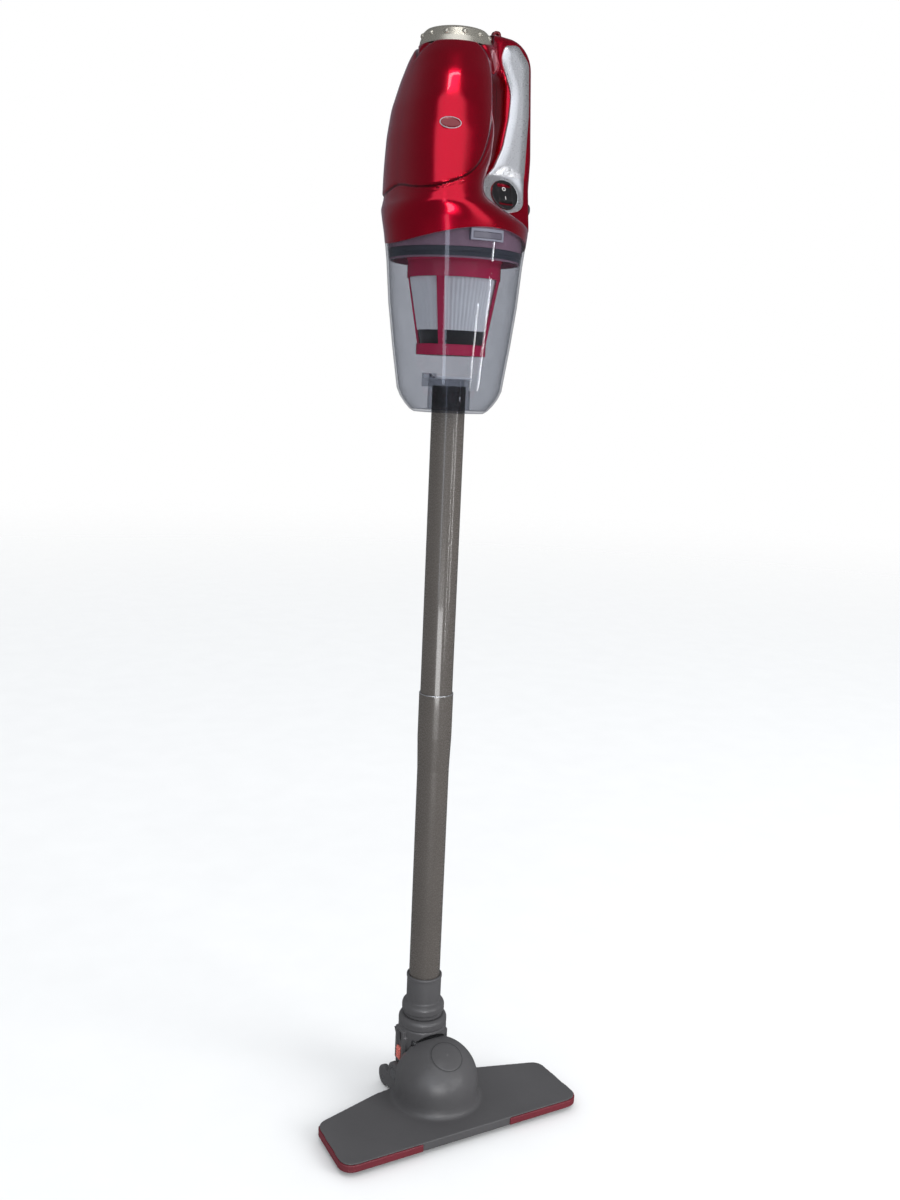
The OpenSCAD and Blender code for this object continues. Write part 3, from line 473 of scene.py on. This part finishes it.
def rounded_solid(mesh, voxel, passes):
    """The mesh as one even skin, with its edges and joins rounded. voxel is in mm."""
    obj = scratch(mesh)
    skin = obj.modifiers.new("skin", "REMESH")
    skin.mode = "VOXEL"
    skin.voxel_size = voxel * MM
    ease = obj.modifiers.new("ease", "SMOOTH")
    ease.factor = 0.5
    ease.iterations = passes
    return applied(obj)


def cut(mesh, *cutters):
    """The mesh with each cutter mesh taken away from it."""
    obj = scratch(mesh)
    tools = [scratch(c) for c in cutters]
    for tool in tools:
        take = obj.modifiers.new("take", "BOOLEAN")
        take.operation = "DIFFERENCE"
        take.solver = "EXACT"
        take.object = tool
    bpy.context.view_layer.update()
    made = applied(obj)
    for tool in tools:
        bpy.data.objects.remove(tool)
    return made


def soften(node, voxel, passes, mat, angle=60):
    """A CAD node shown with rounded edges."""
    mesh = rounded_solid(nodes[node].data.copy(), voxel, passes)
    piece(node + "_skin", mesh, mat, nodes[node]["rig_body"], (node,), angle)


# ---- Handheld unit's housing ----

# Pod sections in mm, heights above the cup's lower end:
# height, centre x, half-depth, half-width and the exponent of the rounded outline
POD = [(150, 0, 66, 66, 2), (166, 0, 68, 68, 2), (175, -0.5, 69.5, 68.5, 2), (181, -8, 61, 67, 2.15),
       (188, -19, 48.5, 65.5, 2.35), (195, -25.5, 38.5, 63.7, 2.45), (204, -27, 36, 62.8, 2.55),
       (216, -26, 37, 62, 2.6), (230, -23.5, 39.5, 61.3, 2.6), (252, -21.5, 40.5, 60, 2.6),
       (276, -20.5, 38.5, 56, 2.6), (300, -17, 36, 49, 2.5), (318, -14, 34, 41, 2.3),
       (329, -9, 34, 35.5, 2.1)]
HANDLE = [(-25, 170), (69, 170), (71, 240), (65, 344.5), (22, 344.5), (-25, 323), (-25, 312),
          (38, 312), (38, 272), (32.5, 240), (21, 221), (-25, 221)]
HANDLE_ROUND = [2, 4, 120, 27, 30, 4, 1, 12, 40, 30, 14, 1]
# The handle's flanks stand upright above BEND_Z and flare outwards by BEND below it
BEND_Z = 221
BEND_Y = 17.5
BEND = math.radians(18)
HANDLE_HALF = BEND_Y - 0.5
HANDLE_EDGE = 5.5
SWITCH_X, SWITCH_Z = 37.5, 202
# Edge of the glossy panel on each side of the pod, as (distance along the side, height);
# the side runs SIDE_COS along X for each SIDE_SIN away from the middle
PANEL = [(-53, 296), (-44, 313), (-30, 326), (-8.5, 334), (9, 331), (20, 320), (25, 305), (27, 282),
         (27, 265), (25, 244), (18, 223), (4, 209), (-20, 201), (-47, 204), (-62, 219)]
SIDE_COS, SIDE_SIN = 0.874, 0.486
# The saddle-shaped lower edge is cut by a wide cylinder with its axis at SADDLE_Z
SADDLE_RADIUS, SADDLE_Z, SADDLE_FOOT = 159.3, 8.2, 120
OUTLET_RADIUS = 26
FOOT_BACK = 69.2
POD_INSET = 0.6
STRIP_EASE = 1.2


def at_cup(x, y, z):
    return Vector((x * MM, y * MM, axis_cup + z * MM))


def inset(points, d):
    """Outline moved inwards by d, for a counter-clockwise outline."""
    out = []
    for i, b in enumerate(points):
        a, c = Vector(points[i - 1]), Vector(points[(i + 1) % len(points)])
        b = Vector(b)
        u, v = (b - a).normalized(), (c - b).normalized()
        m, n = Vector((-u.y, u.x)), Vector((-v.y, v.x))
        out.append(tuple(b + d * (m + n) / (1 + m.dot(n))))
    return out


def rounded(points, radii, steps=8):
    """Outline with each corner rounded to its own radius."""
    out = []
    for i, q in enumerate(points):
        q = Vector(q)
        u = (Vector(points[i - 1]) - q).normalized()
        v = (Vector(points[(i + 1) % len(points)]) - q).normalized()
        half = math.acos(max(-1, min(1, u.dot(v)))) / 2
        centre = q + (u + v).normalized() * radii[i] / math.sin(half)
        a, b = q + u * radii[i] / math.tan(half) - centre, q + v * radii[i] / math.tan(half) - centre
        turn = math.pi - 2 * half
        if a.x * b.y - a.y * b.x < 0:
            turn = -turn
        for k in range(steps + 1):
            t = turn * k / steps
            out.append((centre.x + a.x * math.cos(t) - a.y * math.sin(t),
                        centre.y + a.x * math.sin(t) + a.y * math.cos(t)))
    return out


def pod_rings():
    """Pod sections every millimetre, eased between the stations."""
    heights = np.arange(POD[0][0], POD[-1][0] + 0.5, 1.0)
    table = np.array(POD, float)
    values = [np.interp(heights, table[:, 0], table[:, k]) for k in range(1, 5)]
    reach = 3
    window = np.ones(2 * reach + 1) / (2 * reach + 1)
    for k, v in enumerate(values):
        for _ in range(2):
            padded = np.pad(v, reach, mode="reflect", reflect_type="odd")
            v = np.convolve(padded, window, mode="valid")
        values[k] = v
    rings = []
    for z, cx, depth, width, power in zip(heights, *values):
        ring = []
        for c, s in around(1, 144):
            ring.append(at_cup(cx + depth * math.copysign(abs(c) ** (2 / power), c),
                               width * math.copysign(abs(s) ** (2 / power), s), z))
        rings.append(ring)
    return rings


def turns_in(points, i):
    """True where a counter-clockwise outline has a hollow corner."""
    a, b, c = (Vector(points[k % len(points)]) for k in (i - 1, i, i + 1))
    return (b - a).cross(c - b) < 0


def side_layers(points, radii, half, edge):
    """Rings of a plate standing in the XZ plane, with edges rounded to the radius edge."""
    layers = []
    for k in range(7):
        t = math.radians(15 * k)
        layers.append((half - edge * (1 - math.sin(t)), edge * (1 - math.cos(t))))
    order = [(-h, d) for h, d in reversed(layers)] + layers
    rings = []
    hollow = [turns_in(points, i) for i in range(len(points))]
    for y, d in order:
        line = rounded(inset(points, d), [r + d if h else max(r - d, 0.5) for r, h in zip(radii, hollow)])
        rings.append([at_cup(x, y, z) for x, z in line])
    return rings


def hull_of(points):
    bm = bmesh.new()
    for p in points:
        bm.verts.new(at_cup(*p))
    bmesh.ops.convex_hull(bm, input=bm.verts)
    return mesh_of(bm, "hull")


def foot_block():
    """The handle's flared foot, out to its round back."""
    points = []
    for z in (172, 219):
        half = HANDLE_HALF + (BEND_Z - z) * math.tan(BEND)
        for k in range(-12, 13):
            y = half * k / 12
            points.append((math.sqrt(FOOT_BACK * FOOT_BACK - y * y), y, z))
        points += [(0, -half, z), (0, half, z)]
    return hull_of(points)


def cylinder_mesh(radius, low, high, at):
    """Cutter: closed cylinder along +Z."""
    bm = bmesh.new()
    add_loft(bm, [[(at[0] + x, at[1] + y, z) for x, y in around(radius, 128)] for z in (low, high)])
    return mesh_of(bm, "cutter")


def saddle_mesh():
    """Cutter below the housing's lower edge: the upper part of a wide cylinder along Y."""
    bm = bmesh.new()
    arc = [math.radians(60 + 60 * i / 96) for i in range(97)]
    line = [(SADDLE_RADIUS * math.cos(a), SADDLE_Z + SADDLE_RADIUS * math.sin(a)) for a in arc]
    line += [(line[-1][0], SADDLE_FOOT), (line[0][0], SADDLE_FOOT)]
    add_loft(bm, [[at_cup(x, y, z) for x, z in line] for y in (-100, 100)])
    return mesh_of(bm, "cutter")


def panel_depth(x, y, z):
    """How far inside the glossy panel's edge each point is, in mm; negative outside."""
    return inside_by(curved(PANEL, 6), SIDE_COS * x + SIDE_SIN * np.abs(y), z)


def inside_by(outline, x, z):
    """How far inside the outline each point is; negative outside."""
    line = np.array(outline)
    best = np.full(len(x), 1e9)
    inside = np.zeros(len(x), bool)
    for (ax, az), (bx, bz) in zip(line, np.roll(line, -1, axis=0)):
        dx, dz = bx - ax, bz - az
        t = np.clip(((x - ax) * dx + (z - az) * dz) / (dx * dx + dz * dz), 0, 1)
        best = np.minimum(best, np.hypot(x - ax - t * dx, z - az - t * dz))
        crosses = (az > z) != (bz > z)
        with np.errstate(divide="ignore", invalid="ignore"):
            inside ^= crosses & (x < ax + (z - az) * dx / (dz if dz else 1e-9))
    return np.where(inside, best, -best)


def curved(points, steps):
    """Closed Catmull-Rom curve through the points."""
    out = []
    count = len(points)
    for i in range(count):
        p0, p1, p2, p3 = (np.array(points[(i + k) % count], float) for k in (-1, 0, 1, 2))
        for k in range(steps):
            t = k / steps
            out.append(tuple(0.5 * (2 * p1 + (p2 - p0) * t + (2 * p0 - 5 * p1 + 4 * p2 - p3) * t * t
                                    + (3 * p1 - p0 - 3 * p2 + p3) * t ** 3)))
    return out


def ramp(value, low, high):
    t = np.clip((value - low) / (high - low), 0, 1)
    return t * t * (3 - 2 * t)


def vertex_rows(mesh, name):
    """The vertices' co or normal, as rows of three."""
    values = np.empty(len(mesh.vertices) * 3)
    mesh.vertices.foreach_get(name, values)
    return values.reshape(-1, 3)


def from_cup(co):
    """x, y and z columns in mm from the cup's lower end."""
    return (co / MM - np.array([0, 0, axis_cup / MM])).T


def emboss(mesh, height):
    """Moves each vertex along its normal by height(x, y, z) mm."""
    co = vertex_rows(mesh, "co")
    co += vertex_rows(mesh, "normal") * height(*from_cup(co))[:, None] * MM
    mesh.vertices.foreach_set("co", co.ravel())
    mesh.update()


def record(mesh, name, value):
    """Stores value(x, y, z) at each vertex, for a material to read."""
    numbers = value(*from_cup(vertex_rows(mesh, "co"))).astype(np.float32)
    mesh.attributes.new(name, "FLOAT", "POINT").data.foreach_set("value", numbers)


def strip(d, low, high):
    """1 where d is between low and high, easing to 0 at both."""
    return ramp(d, low, low + STRIP_EASE) * ramp(-d, -high, STRIP_EASE - high)


def housing_relief(x, y, z):
    """Raised panel with a groove round it, a second groove under it, and a band that sweeps over it."""
    d = panel_depth(x, y, z)
    on_pod = ramp(40 - x, 0, 10) * ramp(z, 186, 192)
    panel = 1.1 * ramp(d, -0.8, 0.8)
    groove = 0.7 * strip(d, -3.4, -0.6)
    lower_groove = 0.5 * strip(d, -6.0, -3.2) * ramp(z, 190, 196) * ramp(-z, -240, -232)
    band = 0.9 * ramp(d, -12, -10.5) * ramp(-d, 3.0, 4.2) * ramp(z, 270, 300)
    toward_handle = 1.2 * ramp(x, -5, 12)
    return on_pod * (panel - groove - lower_groove + band + toward_handle - POD_INSET)


def painted_groove_shade(x, y, z):
    """How much painted shade the groove round the panel gets at each point, and 0 away from it."""
    off_middle = np.abs(panel_depth(x, y, z) + 1.2)
    return 0.85 * (1 - ramp(off_middle, 0.35, 1.15)) * ramp(24 - x, 0, 6)


def shoulder():
    """Web that joins the pod's top to the handle's top."""
    points = []
    for z, cx, depth, width in ((304, -16.4, 35.0, 46.0), (326, -10.5, 33.5, 37.5)):
        for k in range(-10, 11):
            t = math.radians(7.5 * k)
            points.append((cx + depth * math.cos(t), width * math.sin(t), z))
    for half, z in ((15.5, 314.5), (13, 341)):
        points += [(29, half, z), (29, -half, z)]
    return hull_of(points)


def make_housing(red):
    """Both red shells as one skin: pod, handle and foot joined, embossed, then cut for what fits in."""
    bm = bmesh.new()
    add_loft(bm, pod_rings())
    add_loft(bm, side_layers(HANDLE, HANDLE_ROUND, HANDLE_HALF, HANDLE_EDGE))
    parts = [mesh_of(bm, "housing"), foot_block(), shoulder()]
    bm = bmesh.new()
    for part in parts:
        bm.from_mesh(part)
    skin = rounded_solid(mesh_of(bm, "housing"), 0.95, 14)
    # Painted shade for the groove round the panel, stored for the red material to read.
    record(skin, "groove", painted_groove_shade)
    emboss(skin, housing_relief)
    cap_radius = (cap_high.x - cap_low.x) / 2
    ring_radius = (ring_high.x - ring_low.x) / 2 + 0.9 * MM
    skin = cut(skin, saddle_mesh(),
               cylinder_mesh(ring_radius, ring_low.z, ring_high.z + 0.2 * MM, (0, 0)),
               cylinder_mesh(OUTLET_RADIUS * MM, cap_low.z - 3.5 * MM, cap_high.z, cap_centre),
               cylinder_mesh(cap_radius + MM, cap_low.z - 0.3 * MM, cap_high.z + MM, cap_centre))
    piece("housing_skin", skin, red, "unit", ("housing_front", "housing_rear"), 40)


# ---- Smaller details ----

INLAY = [(15, 190), (35, 184), (57, 190), (62, 225), (63.5, 280), (61, 324), (48, 338.5), (34, 336),
         (30, 324), (43, 296), (41.2, 272), (36, 246), (27, 227), (14.5, 213)]
INLAY_ROUND = [13, 16, 13, 40, 60, 14, 9, 6, 14, 30, 40, 40, 20, 7]
CROWN = 2.2
CROWN_EDGE = 9


def make_inlay(node, mat, side):
    """Silver panel of the handle, crowned across its width and flat round the switch."""
    skin = rounded_solid(nodes[node].data.copy(), 0.6, 10)
    outline = rounded(INLAY, INLAY_ROUND)

    def crown(x, y, z):
        drop = np.maximum(0, BEND_Z - z) * (1 / math.cos(BEND) - 1)
        depth = np.clip(inside_by(outline, x, z - drop) / CROWN_EDGE, 0, 1)
        outer = ramp(side * y, HANDLE_HALF - 1, HANDLE_HALF)
        clear = ramp(np.hypot(x - SWITCH_X, z - SWITCH_Z), 17, 30) if side < 0 else 1
        return CROWN * np.sqrt(1 - (1 - depth) ** 2) * outer * clear

    emboss(skin, crown)
    piece(node + "_skin", skin, mat, "unit", (node,), 60)


def make_dome_disc(mat, dark):
    """Round cap let into the top of the floor head's dome, with a dark joint line round it."""
    radius, half = 43.8, 21.5
    centre = Vector((0, -36 * MM, 31.5 * MM))
    place = Matrix.Translation(centre) @ Matrix.Rotation(math.radians(28), 4, "X")
    arc = [math.radians(0.2 + (half - 0.2) * k / 12) for k in range(13)]
    top = [(radius * math.sin(a), radius * math.cos(a)) for a in arc]
    rim_r, rim_z = top[-1]
    disc = top + [(rim_r + 0.35, rim_z - 0.5), (rim_r + 0.3, rim_z - 1.2)]
    disc += [(r, z - 1.2) for r, z in reversed(top)]
    inner, outer = (math.radians(half + step) for step in (0.1, 1.1))
    joint = [(r * math.sin(a), r * math.cos(a)) for r, a in
             ((radius - 1, inner), (radius + 0.1, inner), (radius + 0.1, outer), (radius - 1, outer))]
    for name, profile, look in (("dome_disc", disc, mat), ("dome_joint", joint, dark)):
        mesh = lathe(name, profile)
        mesh.transform(place)
        piece(name, mesh, look, "head", angle=40)


PLEATS = 60
PLEAT_DEPTH = 0.7 * MM
# Radius lost for each unit of height, going down
TAPER = 11 / 61


def make_filter_cloth(mat):
    """Pleated cloth sleeve round the filter."""
    low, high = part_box("filter_cloth")
    height = high.z - low.z
    top = high.x - 0.3 * MM
    foot = top - TAPER * height
    rings = []
    for k in range(13):
        t = k / 12
        ring = []
        for i in range(6 * PLEATS):
            a = 2 * math.pi * i / (6 * PLEATS)
            r = foot + (top - foot) * t - PLEAT_DEPTH * (1 - math.cos(PLEATS * a)) / 2
            ring.append((r * math.cos(a), r * math.sin(a), low.z + height * t))
        rings.append(ring)
    bm = bmesh.new()
    add_skin(bm, rings)
    mesh = bpy.data.meshes.new("cloth")
    bm.to_mesh(mesh)
    bm.free()
    obj = scratch(mesh)
    wall = obj.modifiers.new("wall", "SOLIDIFY")
    wall.thickness = 0.5 * MM
    wall.offset = -1
    piece("filter_pleats", applied(obj), mat, "filter", ("filter_cloth",), 60)


def make_bristles(node, mat, seed):
    """Brush strip as rows of tapered tufts in a thin carrier."""
    low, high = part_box(node)
    rng = np.random.default_rng(seed)
    bm = bmesh.new()
    carrier = (high.z - low.z) * 0.45
    corners = [(low.x, low.y), (high.x, low.y), (high.x, high.y), (low.x, high.y)]
    add_loft(bm, [[(x, y, z) for x, y in corners] for z in (high.z - carrier, high.z)])
    square = ((-1, -1), (1, -1), (1, 1), (-1, 1))
    root_z = high.z - carrier * 0.8
    margin = 0.8 * MM
    rows, count = 3, 150
    for row in range(rows):
        y = low.y + (high.y - low.y) * (row + 0.5) / rows
        for k in range(count):
            x = low.x + margin + (high.x - low.x - 2 * margin) * (k + 0.5 * (row % 2)) / count
            lean = rng.uniform(-0.35, 0.35, 2) * MM
            root = [(x + dx * 0.45 * MM, y + dy * 0.45 * MM, root_z) for dx, dy in square]
            tip = [(x + dx * 0.22 * MM + lean[0], y + dy * 0.22 * MM + lean[1], low.z) for dx, dy in square]
            add_loft(bm, [root, tip])
    piece(node + "_tufts", mesh_of(bm, node), mat, "head", (node,), 30)


def make_badge(red, rim_mat):
    """Blank oval badge: a domed plate in a thin pale rim."""
    low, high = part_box("badge")
    centre = (low + high) / 2
    normal = Vector((-0.27, -0.955, 0.105)).normalized()
    side = Vector((0, 0, 1)).cross(normal).normalized()
    top = normal.cross(side)

    def oval(a, b, lift):
        return [centre + side * a * MM * c + top * b * MM * s + normal * lift * MM
                for c, s in around(1, 64)]

    plate = ((9.3, 4.5, -0.7), (9.3, 4.5, 0.15), (8.4, 3.9, 0.42), (5.5, 2.4, 0.6), (1.5, 0.7, 0.66))
    bm = bmesh.new()
    add_loft(bm, [oval(*size) for size in plate])
    piece("badge_plate", mesh_of(bm, "badge"), red, "unit", ("badge",), 60)
    rim = ((9.95, 5.15, -0.7), (9.95, 5.15, 0.3), (9.7, 4.9, 0.55), (9.35, 4.6, 0.5), (9.2, 4.4, 0.1),
           (9.2, 4.4, -0.7))
    bm = bmesh.new()
    add_skin(bm, [oval(*size) for size in rim], closed=True)
    piece("badge_rim", mesh_of(bm, "rim"), rim_mat, "unit", angle=50)


def turned(y, z, angle):
    c, s = math.cos(angle), math.sin(angle)
    return y * c - z * s, y * s + z * c


def on_flank(x, y, z):
    """Point drawn on the handle's upright side, tilted with the foot's flank."""
    y, z = turned(y + BEND_Y, z - BEND_Z, -BEND)
    return at_cup(x, y - BEND_Y, z + BEND_Z)


# The rocker's hinge, its tilt as it rests, and where its face stands from the hinge
ROCKER_Y, ROCKER_Z = -11.3, 203
ROCKER_TILT = math.radians(-8)
ROCKER_FACE = -7.6
MARK_RISE = 0.12


def make_switch_marks(white):
    """The rocker's two marks: a ring above and a bar below, standing just proud of its face."""
    def on_rocker(x, y, z):
        y, z = turned(y, z, ROCKER_TILT)
        return on_flank(SWITCH_X + x, ROCKER_Y + y, ROCKER_Z + z)

    back, front = ROCKER_FACE + 0.1, ROCKER_FACE - MARK_RISE
    ring = [[on_rocker(x, y, 4.6 + z) for x, z in around(r, 40)]
            for r, y in ((1.9, back), (1.9, front), (1.35, front), (1.35, back))]
    corners = ((-0.28, -6.4), (0.28, -6.4), (0.28, -3.0), (-0.28, -3.0))
    bm = bmesh.new()
    add_skin(bm, ring, closed=True)
    add_loft(bm, [[on_rocker(x, y, z) for x, z in corners] for y in (back, front)])
    piece("switch_marks", mesh_of(bm, "marks"), white, "rocker", angle=40)


def make_wand_highlight_ring(pale):
    """Thin pale ring where the two wand tubes meet: a painted highlight standing in for the light on the
    lower tube's lip.
    """
    top = joint_z / MM
    profile = [(16.4, -0.9), (17.3, -0.9), (17.45, -0.5), (17.3, -0.05), (16.4, 0.05)]
    mesh = lathe("ring", [(r, top + z) for r, z in profile])
    piece("wand_highlight_ring", mesh, pale, "lower_wand", angle=50)


# ---- The object ----

def build():
    red = candy_red("candy_red")
    dark_grey = plain("satin_grey", (0.080, 0.078, 0.081), 0.34, tone=0.08, relief=0.12, edge_highlight=0.25)
    glossy_black = plain("glossy_black", (0.012, 0.012, 0.013), 0.12, coat=0.6, relief=0.03)
    matt_black = plain("matt_black", (0.02, 0.02, 0.021), 0.5, relief=0.15, edge_highlight=0.3)
    silver = plain("satin_silver", (0.76, 0.77, 0.80), 0.3, metal=0.9, tone=0.04, relief=0.04)
    champagne = plain("champagne", (0.56, 0.53, 0.46), 0.28, metal=0.8, coat=0.3, tone=0.05, relief=0.04)
    wand = plain("wand_brown", (0.090, 0.080, 0.072), 0.26, coat=0.6, tone=0.06, relief=0.03)
    bumper = plain("red_rubber", (0.15, 0.016, 0.026), 0.42, tone=0.15, relief=0.2, edge_highlight=0.15)
    crimson = plain("crimson", (0.60, 0.02, 0.09), 0.22, coat=0.3, relief=0.03)
    steel = brushed("brushed_steel", (0.55, 0.55, 0.56), 0.28)
    copper = brushed("copper", (0.62, 0.28, 0.14), 0.3)
    rubber = plain("soft_rubber", (0.02, 0.02, 0.022), 0.6, relief=0.25, edge_highlight=0.4)
    salmon = plain("salmon", (0.62, 0.16, 0.13), 0.4, relief=0.1, edge_highlight=0.2)
    felt = cloth("felt", (0.03, 0.03, 0.03), 0.0006)
    foam = cloth("foam", (0.05, 0.05, 0.055), 0.0014)
    pale_cloth = cloth("filter_weave", (0.95, 0.95, 0.96), 0.0008)
    bristle = plain("bristle", (0.02, 0.02, 0.02), 0.6, relief=0.3, grain=3000)
    tab_red = plain("tab_red", (0.16, 0.004, 0.010), 0.2, metal=0.4, coat=0.9)
    dark_ring = plain("dark_ring", (0.34, 0.20, 0.26), 0.25, coat=0.4)
    seal = plain("seal_rubber", (0.065, 0.068, 0.085), 0.4, relief=0.15)
    smoky_button = plain("smoky_button", (0.085, 0.08, 0.105), 0.2, coat=0.5, relief=0.03)
    smoky = clear_plastic("smoky_clear", (0.775, 0.785, 0.81))
    pale_flap = plain("pale_flap", (0.72, 0.74, 0.78), 0.3, tone=0.05, relief=0.04)
    drum_gloss = plain("drum_gloss", (0.22, 0.22, 0.23), 0.18, metal=0.8, relief=0.03)
    smoky_frame = plain("smoky_frame", (0.15, 0.15, 0.19), 0.2, coat=0.3)
    white = plain("mark_white", (0.85, 0.85, 0.85), 0.5, tone=0.02)
    wire = plain("wire_blue", (0.03, 0.08, 0.30), 0.4)
    carbon = plain("carbon", (0.03, 0.03, 0.03), 0.7, relief=0.3)
    laminations = plain("laminations", (0.16, 0.14, 0.13), 0.4, metal=0.7, grain=2500, relief=0.4,
                        stretch=(0.02, 0.02, 1))

    looks = {
        dark_grey: ["wheel_left", "wheel_right"],
        matt_black: ["sole_plate", "exhaust_grille"],
        smoky_button: ["latch_button"],
        drum_gloss: ["neck_drum"],
        wand: ["wand_lower", "wand_upper"],
        champagne: ["exhaust_cap"],
        crimson: ["filter_frame"],
        dark_ring: ["base_ring"],
        steel: ["sole_screws", "housing_screws", "wheel_axles", "pivot_pins", "flap_pin", "swivel_clip",
                "fan_cover", "impeller", "motor_can", "motor_bearings", "motor_shaft"],
        copper: ["rotor_core", "commutator"],
        laminations: ["stator_core"],
        seal: ["cup_seal"],
        rubber: ["filter_seal", "motor_mount_lower", "motor_mount_upper"],
        felt: ["drum_seal", "filter_core"],
        foam: ["exhaust_foam"],
        carbon: ["carbon_brushes"],
        wire: ["wiring"],
        smoky: ["dust_cup"],
        pale_flap: ["inlet_flap"],
    }
    for mat, names in looks.items():
        for name in names:
            dress(nodes[name], mat)

    make_housing(red)
    soften("head_shell", 1.0, 10, dark_grey)
    soften("bumper_left", 0.6, 4, bumper)
    soften("bumper_right", 0.6, 4, bumper)
    soften("neck_yoke", 0.6, 6, dark_grey)
    soften("swivel_collar", 0.6, 3, dark_grey)
    soften("suction_slider", 0.25, 3, salmon)
    make_inlay("handle_inlay_front", silver, -1)
    make_inlay("handle_inlay_rear", silver, 1)
    make_dome_disc(dark_grey, matt_black)
    soften("switch_bezel", 0.35, 4, glossy_black)
    soften("switch_rocker", 0.3, 4, glossy_black)
    soften("cord_gland", 0.3, 2, rubber)
    soften("hang_tab", 0.3, 4, tab_red)
    soften("latch_frame", 0.3, 3, smoky_frame)
    make_filter_cloth(pale_cloth)
    make_bristles("brush_front", bristle, 1)
    make_bristles("brush_rear", bristle, 2)
    make_badge(tab_red, silver)
    make_switch_marks(white)
    make_wand_highlight_ring(silver)


make_camera()
make_world()
make_lights()
make_floor()
bpy.context.scene.view_settings.view_transform = "Standard"
build()
